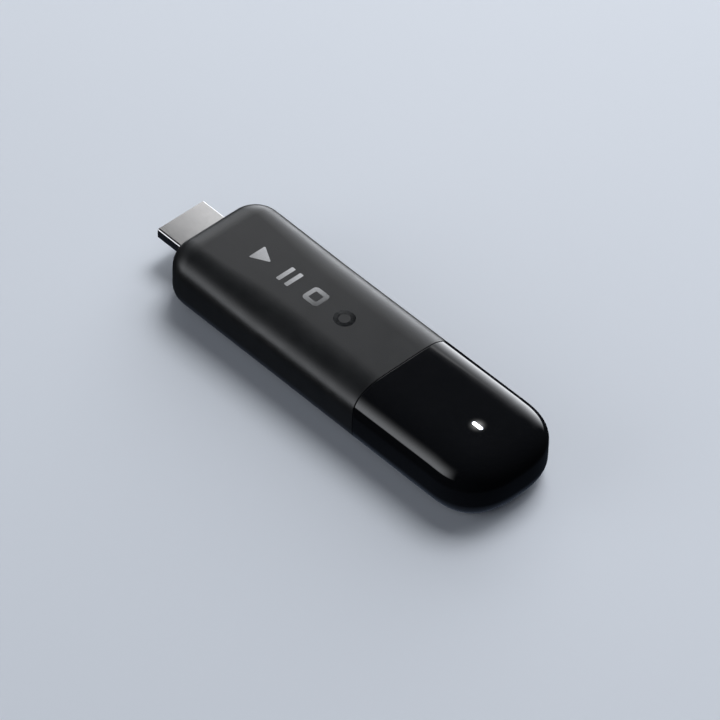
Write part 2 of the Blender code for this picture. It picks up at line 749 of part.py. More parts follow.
def add_plug_insulator():
    """The moulding inside the plug: a slot for the mating tongue and a groove for each contact."""
    start_x = PLUG_TIP_X + INSULATOR_SETBACK
    insulator = prism(
        "plug_insulator",
        plug_section(-PLUG_SHEET - SOLDER_GAP),
        PLUG_REAR_X - start_x,
        ((start_x + PLUG_REAR_X) / 2, 0, PLUG_CENTRE_HEIGHT),
        "X",
        BLACK_MOULDING,
    )
    slot = box(
        "plug_slot",
        (start_x - PAST, -SLOT_WIDTH / 2, PLUG_CENTRE_HEIGHT - SLOT_HEIGHT / 2),
        (start_x + SLOT_DEPTH, SLOT_WIDTH / 2, PLUG_CENTRE_HEIGHT + SLOT_HEIGHT / 2),
    )
    grooves = []
    half_groove = PIN_WIDTH / 2 + SOLDER_GAP
    reach = SLOT_HEIGHT / 2 + PIN_SHEET + 2 * SOLDER_GAP
    for y, row in pin_rows():
        inner, outer = sorted((row * (SLOT_HEIGHT / 2 - SOLDER_GAP), row * reach))
        low = (PLUG_TIP_X + PIN_TIP_SETBACK - FIT, y - half_groove, PLUG_CENTRE_HEIGHT + inner)
        high = (PLUG_REAR_X + PAST, y + half_groove, PLUG_CENTRE_HEIGHT + outer)
        grooves.append((low, high))
    cut(insulator, slot, several_boxes("pin_grooves", grooves))


def strip_outline(path, thickness):
    """The outline of a bent strip of sheet whose middle follows the path."""
    points = [Vector(point) for point in path]
    above, below = [], []
    for index, point in enumerate(points):
        before = points[max(index - 1, 0)]
        after = points[min(index + 1, len(points) - 1)]
        along = (after - before).normalized()
        across = Vector((-along.y, along.x)) * thickness / 2
        above.append(tuple(point + across))
        below.append(tuple(point - across))
    return below + above[::-1]


def add_plug_contacts():
    """The plug's contacts: each lies in its groove, bows into the slot and ends on a board pad."""
    groove_z = SLOT_HEIGHT / 2 + SOLDER_GAP + PIN_SHEET / 2
    pad_z = BOARD_THICKNESS / 2 + SOLDER_GAP + PIN_SHEET / 2
    tip_x = PLUG_TIP_X + PIN_TIP_SETBACK
    crest_x = tip_x + PIN_FLAT + PIN_BOW_FALL
    path = [
        (tip_x, groove_z),
        (tip_x + PIN_FLAT, groove_z),
        (crest_x, groove_z - PIN_BOW),
        (crest_x + PIN_BOW_CREST, groove_z - PIN_BOW),
        (crest_x + PIN_BOW_CREST + PIN_BOW_RISE, groove_z),
        (PLUG_REAR_X + SOLDER_GAP, groove_z),
        (BOARD_START_X + PIN_BEND, pad_z),
        (BOARD_START_X + PIN_TAIL, pad_z),
    ]
    for number, (y, row) in enumerate(pin_rows(), start=1):
        turned = [(x, row * z) for x, z in path]
        outline = strip_outline(turned, PIN_SHEET)
        flat_plate(
            f"plug_contact_{number:02d}", [outline], PIN_WIDTH, (0, y, PLUG_CENTRE_HEIGHT), "Y", GOLD
        )


# ================================================================ circuit board
def circle(centre, radius, steps=ROUND_STEPS):
    return [
        (
            centre[0] + radius * math.cos(2 * math.pi * step / steps),
            centre[1] + radius * math.sin(2 * math.pi * step / steps),
        )
        for step in range(steps)
    ]


def screw_places():
    """The two screws that hold the board to the tray: name, x and y."""
    return [("front", FRONT_SCREW_X, -SCREW_Y), ("rear", REAR_SCREW_X, -SCREW_Y)]


def add_main_board():
    """The board, notched for the sunk power socket and drilled for the screws."""
    notch_y = SOCKET_REAR_Y - POWER_PIN_RISE - 3 * FIT
    corners = [
        (BOARD_START_X, -BOARD_HALF_WIDTH),
        (BOARD_END_X, -BOARD_HALF_WIDTH),
        (BOARD_END_X, BOARD_HALF_WIDTH),
        (SOCKET_X + SOCKET_HALF_WIDTH, BOARD_HALF_WIDTH),
        (SOCKET_X + SOCKET_HALF_WIDTH, notch_y),
        (SOCKET_X - SOCKET_HALF_WIDTH, notch_y),
        (SOCKET_X - SOCKET_HALF_WIDTH, BOARD_HALF_WIDTH),
        (BOARD_START_X, BOARD_HALF_WIDTH),
    ]
    hole = SCREW_SHANK_DIAMETER / 2 + FIT
    holes = [circle((x, y), hole) for _, x, y in screw_places()]
    outline = rounded(corners, BOARD_CORNER)
    flat_plate(
        "main_board",
        [outline, *holes],
        BOARD_THICKNESS,
        (0, 0, (BOARD_TOP + BOARD_BOTTOM) / 2),
        "Z",
        BOARD_GREEN,
    )


def chip(name, x, y, size, height, material, under=False):
    """A component soldered on top of the board, or beneath it."""
    low = BOARD_BOTTOM - SOLDER_GAP - height if under else BOARD_TOP + SOLDER_GAP
    half_x, half_y = size[0] / 2, size[1] / 2
    return box(name, (x - half_x, y - half_y, low), (x + half_x, y + half_y, low + height), material)


def add_components():
    """Processor, memory, power and radio parts, and the light source."""
    square = (PROCESSOR_SIDE, PROCESSOR_SIDE)
    chip("processor", PROCESSOR_X, 0, square, PROCESSOR_HEIGHT, CHIP_BLACK)
    manager_x = PROCESSOR_X + MANAGER_FROM_PROCESSOR
    square = (MANAGER_SIDE, MANAGER_SIDE)
    chip("power_manager", manager_x, MANAGER_OFFSET, square, MANAGER_HEIGHT, CHIP_BLACK)

    memory_size = (MEMORY_LENGTH, MEMORY_WIDTH)
    chip("memory_chip", MEMORY_X, 0, memory_size, MEMORY_HEIGHT, CHIP_BLACK, under=True)
    storage_size = (STORAGE_LENGTH, STORAGE_WIDTH)
    storage_x = MEMORY_X + STORAGE_FROM_MEMORY
    chip("storage_chip", storage_x, 0, storage_size, STORAGE_HEIGHT, CHIP_BLACK, under=True)

    chip("radio_module", RADIO_X, RADIO_Y, (RADIO_LENGTH, RADIO_WIDTH), RADIO_HEIGHT, SHIELD_TIN)
    crystal_size = (CRYSTAL_LENGTH, CRYSTAL_WIDTH)
    chip("crystal", CRYSTAL_X, -CRYSTAL_OFFSET, crystal_size, CRYSTAL_HEIGHT, SHIELD_TIN)
    square = (INDUCTOR_SIDE, INDUCTOR_SIDE)
    for letter, side in (("a", -1), ("b", 1)):
        x = SOCKET_X + side * INDUCTOR_FROM_SOCKET
        chip(f"power_inductor_{letter}", x, INDUCTOR_Y, square, INDUCTOR_HEIGHT, FERRITE)
    chip("status_led", LIGHT_X, LIGHT_Y, (LED_LENGTH, LED_WIDTH), LED_HEIGHT, CLEAR_LENS)


def add_shield(name, low_z, high_z, open_above):
    """A five-sided can of thin sheet, open towards the board."""
    shape = bmesh.new()
    bmesh.ops.create_cube(shape, size=1.0)
    size = (SHIELD_END_X - SHIELD_START_X, 2 * SHIELD_HALF_WIDTH, high_z - low_z)
    bmesh.ops.scale(shape, vec=size, verts=shape.verts)
    shape.normal_update()
    towards_board = 1 if open_above else -1
    lid = [face for face in shape.faces if face.normal.z * towards_board > 0.5]
    bmesh.ops.delete(shape, geom=lid, context="FACES_ONLY")
    middle = ((SHIELD_START_X + SHIELD_END_X) / 2, 0, (low_z + high_z) / 2)
    can = add_object(name, shape, SHIELD_TIN, middle)
    solidify(can, SHIELD_SHEET)


def add_heat_path():
    """Shield cans, soft pads and the metal spreaders that carry heat to the casing."""
    add_shield("top_shield", BOARD_TOP + SOLDER_GAP, TOP_SHIELD_TOP, False)
    add_shield("bottom_shield", BOTTOM_SHIELD_LOW, BOARD_BOTTOM - SOLDER_GAP, True)

    processor_top = BOARD_TOP + SOLDER_GAP + PROCESSOR_HEIGHT
    lid_low = TOP_SHIELD_TOP - SHIELD_SHEET
    half = PROCESSOR_SIDE / 2 - PROCESSOR_PAD_MARGIN
    box(
        "processor_pad",
        (PROCESSOR_X - half, -half, processor_top + SOLDER_GAP),
        (PROCESSOR_X + half, half, lid_low - SOLDER_GAP),
        PAD_GREY,
    )
    start_x, end_x = SHIELD_START_X + PAD_MARGIN, SHIELD_END_X - PAD_MARGIN
    spreader_half = HALF_WIDTH - TOP_RADIUS
    pad_half = spreader_half - FIT
    pad_low = TOP_SHIELD_TOP + SOLDER_GAP
    box(
        "spreader_pad",
        (start_x, -pad_half, pad_low),
        (end_x, pad_half, pad_low + TOP_PAD_THICKNESS),
        PAD_GREY,
    )
    spreader_low = pad_low + TOP_PAD_THICKNESS + SOLDER_GAP
    spreader_top = BODY_HEIGHT - WALL - PART_GAP
    spreader = box(
        "top_spreader",
        (SHIELD_START_X, -spreader_half, spreader_low),
        (SHIELD_END_X, spreader_half, spreader_top),
        ALUMINIUM,
    )
    pitch = 2 * spreader_half / (SPREADER_GROOVES + 1)
    grooves = []
    for index in range(SPREADER_GROOVES):
        y = -spreader_half + pitch * (index + 1)
        low = (SHIELD_START_X - PAST, y - GROOVE_WIDTH / 2, spreader_top - GROOVE_DEPTH)
        high = (SHIELD_END_X + PAST, y + GROOVE_WIDTH / 2, spreader_top + PAST)
        grooves.append((low, high))
    cut(spreader, several_boxes("spreader_grooves", grooves))

    plate_half = HALF_WIDTH - max(BOTTOM_RADIUS, TRAY_FLOOR_TOP) - PART_GAP
    box(
        "bottom_spreader",
        (start_x, -plate_half, BOTTOM_PLATE_LOW),
        (end_x, plate_half, BOTTOM_PLATE_LOW + BOTTOM_PLATE_THICKNESS),
        ALUMINIUM,
    )
    box(
        "bottom_pad",
        (start_x, -plate_half, BOTTOM_PAD_LOW),
        (end_x, plate_half, BOTTOM_PAD_LOW + BOTTOM_PAD_THICKNESS),
        PAD_GREY,
    )


def add_antennas():
    """Two stamped antennas that stand on the board's far end."""
    foot, strip = ANTENNA_HEIGHT, ANTENNA_STRIP
    outline = [
        (0, 0),
        (strip, 0),
        (strip, foot - strip),
        (2 * strip, foot - strip),
        (2 * strip, 0),
        (3 * strip, 0),
        (3 * strip, foot - strip),
        (ANTENNA_LENGTH, foot - strip),
        (ANTENNA_LENGTH, foot),
        (0, foot),
    ]
    place = (BOARD_END_X - ANTENNA_STRIP, 0, BOARD_TOP + SOLDER_GAP)
    for name, side in (("wifi_antenna", 1), ("bluetooth_antenna", -1)):
        turned = [(side * (ANTENNA_INNER_END + y), z) for y, z in outline]
        flat_plate(name, [turned], ANTENNA_SHEET, place, "X", SHIELD_TIN)


# ================================================================ power socket
def add_power_socket():
    """The sunk five-contact power socket: sheet shell, tongue moulding and its contacts."""
    middle_y = (SOCKET_MOUTH_Y + SOCKET_REAR_Y) / 2
    shell = prism(
        "socket_shell",
        socket_section(0),
        SOCKET_DEPTH,
        (SOCKET_X, middle_y, SOCKET_CENTRE_HEIGHT),
        "Y",
        NICKEL,
        fill_mode="NONE",
    )
    solidify(shell, SOCKET_SHEET)
    smooth(shell)

    base_front_y = SOCKET_REAR_Y + SOCKET_BASE_DEPTH
    base = prism(
        "socket_tongue",
        socket_section(-SOCKET_SHEET - SOLDER_GAP),
        SOCKET_BASE_DEPTH,
        (SOCKET_X, SOCKET_REAR_Y + SOCKET_BASE_DEPTH / 2, SOCKET_CENTRE_HEIGHT),
        "Y",
        BLACK_MOULDING,
    )
    tongue_top = SOCKET_CENTRE_HEIGHT + TONGUE_THICKNESS / 2 + TONGUE_DROP
    tongue_low = tongue_top - TONGUE_THICKNESS
    tongue = box(
        "tongue_blade",
        (SOCKET_X - TONGUE_WIDTH / 2, base_front_y - JOINED, tongue_low),
        (SOCKET_X + TONGUE_WIDTH / 2, SOCKET_MOUTH_Y - TONGUE_SETBACK, tongue_top),
    )
    join(base, tongue)

    pin_top = tongue_low - SOLDER_GAP
    pin_z = pin_top - POWER_PIN_SHEET / 2
    pad_z = BOARD_TOP + SOLDER_GAP + POWER_PIN_SHEET / 2
    path = [
        (SOCKET_MOUTH_Y - TONGUE_SETBACK - 2 * FIT, pin_z),
        (SOCKET_REAR_Y - FIT, pin_z),
        (SOCKET_REAR_Y - POWER_PIN_RISE, pad_z),
        (SOCKET_REAR_Y - POWER_PIN_TAIL, pad_z),
    ]
    outline = strip_outline(path, POWER_PIN_SHEET)
    channels = []
    for index in range(POWER_PINS):
        x = SOCKET_X + (index - (POWER_PINS - 1) / 2) * POWER_PIN_PITCH
        half = POWER_PIN_WIDTH / 2
        flat_plate(f"socket_contact_{index + 1}", [outline], POWER_PIN_WIDTH, (x, 0, 0), "X", GOLD)
        low = (x - half - SOLDER_GAP, SOCKET_REAR_Y - PAST, pin_top - POWER_PIN_SHEET - SOLDER_GAP)
        high = (x + half + SOLDER_GAP, base_front_y + SOLDER_GAP, pin_top + SOLDER_GAP)
        channels.append((low, high))
    cut(base, several_boxes("socket_contact_channels", channels))


# ================================================================ reset button and its switch
def add_reset_button():
    """The side-push switch on the board and the button that presses it. Both moving pieces share
    an empty on the line that they travel along."""
    front_y = SWITCH_FRONT_Y
    rear_y = front_y - SWITCH_DEPTH
    switch = box(
        "reset_switch",
        (RESET_X - SWITCH_LENGTH / 2, rear_y, SWITCH_LOW),
        (RESET_X + SWITCH_LENGTH / 2, front_y, SWITCH_LOW + SWITCH_HEIGHT),
        BLACK_MOULDING,
    )
    bore_depth = PLUNGER_HELD + BUTTON_TRAVEL + 2 * FIT
    bore = box(
        "plunger_bore",
        (
            RESET_X - PLUNGER_WIDTH / 2 - FIT,
            front_y - bore_depth,
            SWITCH_CENTRE_HEIGHT - PLUNGER_HEIGHT / 2 - FIT,
        ),
        (
            RESET_X + PLUNGER_WIDTH / 2 + FIT,
            front_y + PAST,
            SWITCH_CENTRE_HEIGHT + PLUNGER_HEIGHT / 2 + FIT,
        ),
    )
    cut(switch, bore)
    box(
        "switch_cover",
        (RESET_X - SWITCH_LENGTH / 2, rear_y, SWITCH_COVER_LOW),
        (RESET_X + SWITCH_LENGTH / 2, front_y, SWITCH_COVER_LOW + SWITCH_COVER),
        SHIELD_TIN,
    )

    axis = bpy.data.objects.new("reset_press_axis", None)
    axis.location = (RESET_X, BUTTON_FACE_Y, SWITCH_CENTRE_HEIGHT)
    PARTS.objects.link(axis)
    plunger_tip_y = front_y + PLUNGER_REACH
    plunger = box(
        "switch_plunger",
        (-PLUNGER_WIDTH / 2, front_y - PLUNGER_HELD - BUTTON_FACE_Y, -PLUNGER_HEIGHT / 2),
        (PLUNGER_WIDTH / 2, plunger_tip_y - BUTTON_FACE_Y, PLUNGER_HEIGHT / 2),
        BLACK_MOULDING,
    )
    plunger.parent = axis

    flange_outer_y = HALF_WIDTH - WALL - FIT
    stem_radius = BUTTON_DIAMETER / 2
    profile = [
        (0, plunger_tip_y + SOLDER_GAP),
        (stem_radius, plunger_tip_y + SOLDER_GAP),
        (stem_radius, flange_outer_y - BUTTON_FLANGE),
        (BUTTON_FLANGE_DIAMETER / 2, flange_outer_y - BUTTON_FLANGE),
        (BUTTON_FLANGE_DIAMETER / 2, flange_outer_y),
        (stem_radius, flange_outer_y),
        (stem_radius, BUTTON_FACE_Y - 2 * FIT),
        (stem_radius - 2 * FIT, BUTTON_FACE_Y),
        (0, BUTTON_FACE_Y),
    ]
    button = spun("reset_button", [(r, y - BUTTON_FACE_Y) for r, y in profile[::-1]], GLOSS_SHELL)
    button.rotation_euler = (-math.pi / 2, 0, 0)
    button.parent = axis


def spun(name, profile, material):
    """A shape spun about Z from points of radius and height, listed from the top down."""
    mesh = bpy.data.meshes.new(name)
    edges = [(index, index + 1) for index in range(len(profile) - 1)]
    mesh.from_pydata([(radius, 0, height) for radius, height in profile], edges, [])
    mesh.materials.append(material)
    obj = bpy.data.objects.new(name, mesh)
    spin = obj.modifiers.new("spin", "SCREW")
    spin.steps = ROUND_STEPS
    spin.render_steps = ROUND_STEPS
    spin.use_merge_vertices = True
    spin.merge_threshold = 0.00001
    PARTS.objects.link(obj)
    return obj


# ================================================================ tray and screws
def add_tray():
    """The moulded tray that the board sits on, with a boss for each screw."""
    tray = body_shell(
        "board_tray",
        TRAY_INSET,
        TRAY_WALL,
        TRAY_GREY,
        start_x=PLUG_END_X + PLUG_END_CORNER,
        top_z=BOARD_BOTTOM - SOLDER_GAP,
    )
    screw_low = BOARD_BOTTOM - SCREW_LENGTH + BOARD_THICKNESS
    for name, x, y in screw_places():
        boss_radius = SCREW_SHANK_DIAMETER / 2 + SOLDER_GAP + BOSS_WALL
        boss = cylinder(
            f"{name}_boss", boss_radius, (x, y, TRAY_INSET + JOINED), (x, y, BOARD_BOTTOM - SOLDER_GAP)
        )
        pilot = cylinder(
            f"{name}_pilot",
            SCREW_SHANK_DIAMETER / 2 + SOLDER_GAP,
            (x, y, screw_low - FIT),
            (x, y, BOARD_BOTTOM + PAST),
        )
        join(tray, boss)
        cut(tray, pilot)
    socket_relief = box(
        "socket_relief",
        (SOCKET_X - SOCKET_HALF_WIDTH, SOCKET_REAR_Y, SOCKET_LOW - 2 * FIT),
        (SOCKET_X + SOCKET_HALF_WIDTH, HALF_WIDTH, BOARD_TOP),
    )
    cut(tray, socket_relief)
    smooth(tray)


def add_screws():
    """Two pan-head screws with a straight slot."""
    head_low = BOARD_TOP + SOLDER_GAP
    head_radius, shank_radius = SCREW_HEAD_DIAMETER / 2, SCREW_SHANK_DIAMETER / 2
    for name, x, y in screw_places():
        profile = [
            (0, SCREW_HEAD_HEIGHT),
            (0.7 * head_radius, SCREW_HEAD_HEIGHT),
            (head_radius, 0.6 * SCREW_HEAD_HEIGHT),
            (head_radius, 0),
            (shank_radius, 0),
            (shank_radius, -SCREW_LENGTH + shank_radius / 2),
            (shank_radius / 2, -SCREW_LENGTH),
            (0, -SCREW_LENGTH),
        ]
        screw = spun(f"{name}_screw", profile, SCREW_STEEL)
        screw.location = (x, y, head_low)
        top = head_low + SCREW_HEAD_HEIGHT
        slot = box(
            f"{name}_screw_slot",
            (x - SCREW_HEAD_DIAMETER, y - SCREW_SLOT_WIDTH / 2, top - SCREW_SLOT_DEPTH),
            (x + SCREW_HEAD_DIAMETER, y + SCREW_SLOT_WIDTH / 2, top + PAST),
        )
        cut(screw, slot)


add_matte_sleeve()
add_gloss_cap()
add_light_guide()
add_plug_shell()
add_plug_insulator()
add_plug_contacts()
add_main_board()
add_components()
add_heat_path()
add_antennas()
add_power_socket()
add_reset_button()
add_tray()
add_screws()
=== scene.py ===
"""Looks of a pocket streaming stick: its finishes, its fine outer meshes, a floor, lights and a camera.

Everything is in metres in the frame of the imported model: +X runs from the display plug to the
rounded end, +Y points to the side with the power socket and the reset button, and +Z is up.
"""

import json
import logging
import math
from dataclasses import dataclass, replace
from enum import Enum

import bmesh
import bpy
from mathutils import Matrix, Vector


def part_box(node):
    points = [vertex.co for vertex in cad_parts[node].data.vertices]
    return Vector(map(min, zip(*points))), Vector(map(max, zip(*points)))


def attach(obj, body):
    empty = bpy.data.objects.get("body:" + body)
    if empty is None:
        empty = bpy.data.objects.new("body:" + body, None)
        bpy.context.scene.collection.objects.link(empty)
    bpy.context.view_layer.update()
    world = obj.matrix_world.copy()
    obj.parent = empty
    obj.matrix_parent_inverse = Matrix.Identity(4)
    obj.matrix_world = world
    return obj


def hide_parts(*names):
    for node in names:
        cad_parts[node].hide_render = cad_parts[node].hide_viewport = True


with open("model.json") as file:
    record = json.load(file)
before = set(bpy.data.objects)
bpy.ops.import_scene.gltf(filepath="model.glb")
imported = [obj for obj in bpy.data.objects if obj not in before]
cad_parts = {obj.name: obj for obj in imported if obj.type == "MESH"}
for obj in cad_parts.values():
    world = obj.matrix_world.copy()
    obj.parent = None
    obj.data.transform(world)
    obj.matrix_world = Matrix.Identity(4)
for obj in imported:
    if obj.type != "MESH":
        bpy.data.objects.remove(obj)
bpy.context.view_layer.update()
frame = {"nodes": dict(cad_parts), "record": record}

LOG = logging.getLogger("streaming_stick")
MM = 0.001
QUARTER = math.pi / 2
# The casing's wall, which the light guide also reaches through.
WALL = 1.5 * MM
# Edges shorter than this, which a cut can leave, are closed up.
SLIVER = 0.0005 * MM
# A station nearer than this to the middle line lies on it.
ON_MIDDLE = 1e-9
# Slots are a hair less than fully round, so that a straight step stays between their two arcs.
ALMOST_ROUND = 0.999
# A strip's mitre is held back where the path turns sharply.
MITRE_LIMIT = 0.4
# Edges that turn more than this many degrees stay sharp.
SHARP_DEGREES = 32.0
# On the casing, every step of a skin turns less than this and every step of a rim turns more.
CASING_SHARP_DEGREES = 10.0
# How strongly the larger faces set the direction in which a vertex is shaded.
LARGE_FACE_WEIGHT = 90
# Most of a noise pattern lies between these two values.
NOISE_SPAN = (0.32, 0.68)
NOISE_ROUGHNESS = 0.55
STICK = "stick"
PUSHED = "reset_push"

Point = tuple[float, float, float]
Outline = list[tuple[float, float]]
Colour = tuple[float, float, float, float]


# ================================================================ node and colour helpers
def linear(code: str) -> Colour:
    """Turns an sRGB hex colour into linear red, green, blue and a full alpha.

    Args:
        code: six hex digits after a hash.

    Returns:
        The colour as a shader socket takes it.
    """
    digits = code.lstrip("#")
    shares = [int(digits[at : at + 2], 16) / 255 for at in (0, 2, 4)]
    red, green, blue = (s / 12.92 if s <= 0.04045 else ((s + 0.055) / 1.055) ** 2.4 for s in shares)
    return (red, green, blue, 1.0)


def add(
    tree: bpy.types.NodeTree,
    kind: str,
    inputs: dict[str | int, object] | None = None,
    **settings: object,
) -> bpy.types.Node:
    """Adds one node with its settings, its constant values and its links.

    Args:
        tree: the node tree that gets the node.
        kind: the node's type name.
        inputs: what each input takes, by name or number: a value, or the socket linked to it.
        settings: the node's own properties.

    Returns:
        The new node.
    """
    node = tree.nodes.new(kind)
    for name, value in settings.items():
        setattr(node, name, value)
    for key, value in (inputs or {}).items():
        if isinstance(value, bpy.types.NodeSocket):
            tree.links.new(value, node.inputs[key])
        else:
            node.inputs[key].default_value = value
    return node


def clouds(
    tree: bpy.types.NodeTree,
    place: bpy.types.NodeSocket,
    size: float,
    low: float,
    high: float,
    stretch: Point = (1.0, 1.0, 1.0),
    detail: float = 3.0,
) -> bpy.types.NodeSocket:
    """A cloudy pattern that wanders between two values.

    Args:
        tree: the node tree.
        place: where on the piece, in metres.
        size: how wide one patch is, in metres.
        low: the value in the hollows of the pattern.
        high: the value on its crests.
        stretch: how much longer a patch is along each axis.
        detail: how many finer layers it has.

    Returns:
        The socket with the value.
    """
    scale = tuple(1.0 / (size * share) for share in stretch)
    scaled = add(tree, "ShaderNodeMapping", {"Vector": place, "Scale": scale})
    noise = add(
        tree,
        "ShaderNodeTexNoise",
        {
            "Vector": scaled.outputs["Vector"],
            "Scale": 1.0,
            "Detail": detail,
            "Roughness": NOISE_ROUGHNESS,
        },
    )
    spread = {"Value": noise.outputs["Fac"], "From Min": NOISE_SPAN[0], "From Max": NOISE_SPAN[1]}
    spread |= {"To Min": low, "To Max": high}
    return add(tree, "ShaderNodeMapRange", spread).outputs["Result"]


# ================================================================ finishes
@dataclass(frozen=True)
class Finish:
    """What every finish starts from; each kind of surface adds its own pattern in paint().

    The colours are sRGB hex, and a metal leaves the IOR at the shader's own default.
    """

    name: str
    colour: str
    second_colour: str
    roughness: float
    metallic: float = 0.0
    ior: float = 1.5

    def material(self) -> bpy.types.Material:
        """Builds the material.

        Returns:
            A node material named for the finish.
        """
        made = bpy.data.materials.new(self.name)
        made.use_nodes = True
        tree = made.node_tree
        shader = tree.nodes["Principled BSDF"]
        shader.inputs["Metallic"].default_value = self.metallic
        if not self.metallic:
            shader.inputs["IOR"].default_value = self.ior
        place = add(tree, "ShaderNodeTexCoord").outputs["Object"]
        self.paint(tree, shader, place)
        made.diffuse_color = linear(self.colour)
        return made

    def paint(self, tree: bpy.types.NodeTree, shader: bpy.types.Node, place: bpy.types.NodeSocket) -> None:
        """Wires the finish's own pattern into the shader; each kind of surface has its own."""
        raise NotImplementedError

    def two_tone(self, tree: bpy.types.NodeTree, share: bpy.types.NodeSocket) -> bpy.types.NodeSocket:
        """Mixes the two colours by a pattern.

        Args:
            tree: the node tree.
            share: how much of the second colour shows.

        Returns:
            The socket with the colour.
        """
        colours = {0: share, 6: linear(self.colour), 7: linear(self.second_colour)}
        return add(tree, "ShaderNodeMix", colours, data_type="RGBA").outputs[2]


@dataclass(frozen=True)
class MouldedPlastic(Finish):
    """A moulding from an etched or spark-eroded mould: fine even grain, slow changes of tone.

    Grain is the width of one dimple, grain_height its depth and grain_tone how much it changes the
    colour. Flow is the width of the slow patches that the melt leaves, flow_tone how much they
    change the colour, and spread how far they move the roughness.
    """

    grain: float = 0.25 * MM
    grain_height: float = 0.006 * MM
    flow: float = 7.0 * MM
    spread: float = 0.06
    grain_tone: float = 0.35
    flow_tone: float = 0.7

    def paint(self, tree: bpy.types.NodeTree, shader: bpy.types.Node, place: bpy.types.NodeSocket) -> None:
        """Grain in the bump, flow marks in colour and roughness.

        Args:
            tree: the node tree.
            shader: the surface shader.
            place: where on the piece, in metres.
        """
        dimples = clouds(tree, place, self.grain, 0.0, 1.0, detail=2.0)
        drift = clouds(tree, place, self.flow, 0.0, self.flow_tone)
        share = {0: dimples, 1: self.grain_tone, 2: drift}
        tone = add(tree, "ShaderNodeMath", share, operation="MULTIPLY_ADD")
        tree.links.new(self.two_tone(tree, tone.outputs[0]), shader.inputs["Base Color"])
        rough = clouds(tree, place, self.flow / 2, self.roughness - self.spread, self.roughness + self.spread)
        tree.links.new(rough, shader.inputs["Roughness"])
        bump = {"Height": dimples, "Distance": self.grain_height, "Strength": 1.0}
        tree.links.new(add(tree, "ShaderNodeBump", bump).outputs[0], shader.inputs["Normal"])


@dataclass(frozen=True)
class HandledPlastic(MouldedPlastic):
    """A spark-eroded casing that has been carried about, and is rubbed smoother low down.

    Rubbed_height is how high the rubbing fades out, and its edge wanders up and down by
    patch_height over patches as wide as patch.
    """

    rubbed_height: float = 1.4 * MM
    rubbed_roughness: float = 0.3
    patch: float = 3.0 * MM
    patch_height: float = 0.5 * MM

    def paint(self, tree: bpy.types.NodeTree, shader: bpy.types.Node, place: bpy.types.NodeSocket) -> None:
        """The moulded grain, then the rubbed lower edge.

        Args:
            tree: the node tree.
            shader: the surface shader.
            place: where on the piece, in metres.
        """
        super().paint(tree, shader, place)
        grain_roughness = shader.inputs["Roughness"].links[0].from_socket
        height = add(tree, "ShaderNodeSeparateXYZ", {"Vector": place}).outputs["Z"]
        patches = clouds(tree, place, self.patch, -self.patch_height, self.patch_height)
        uneven = add(tree, "ShaderNodeMath", {0: height, 1: patches}, operation="ADD").outputs[0]
        span = {"Value": uneven, "From Max": self.rubbed_height, "To Min": 1.0, "To Max": 0.0}
        worn = add(tree, "ShaderNodeMapRange", span, interpolation_type="SMOOTHSTEP").outputs["Result"]
        ends = {0: worn, 2: grain_roughness, 3: self.rubbed_roughness}
        mixed = add(tree, "ShaderNodeMix", ends, data_type="FLOAT")
        tree.links.new(mixed.outputs[0], shader.inputs["Roughness"])


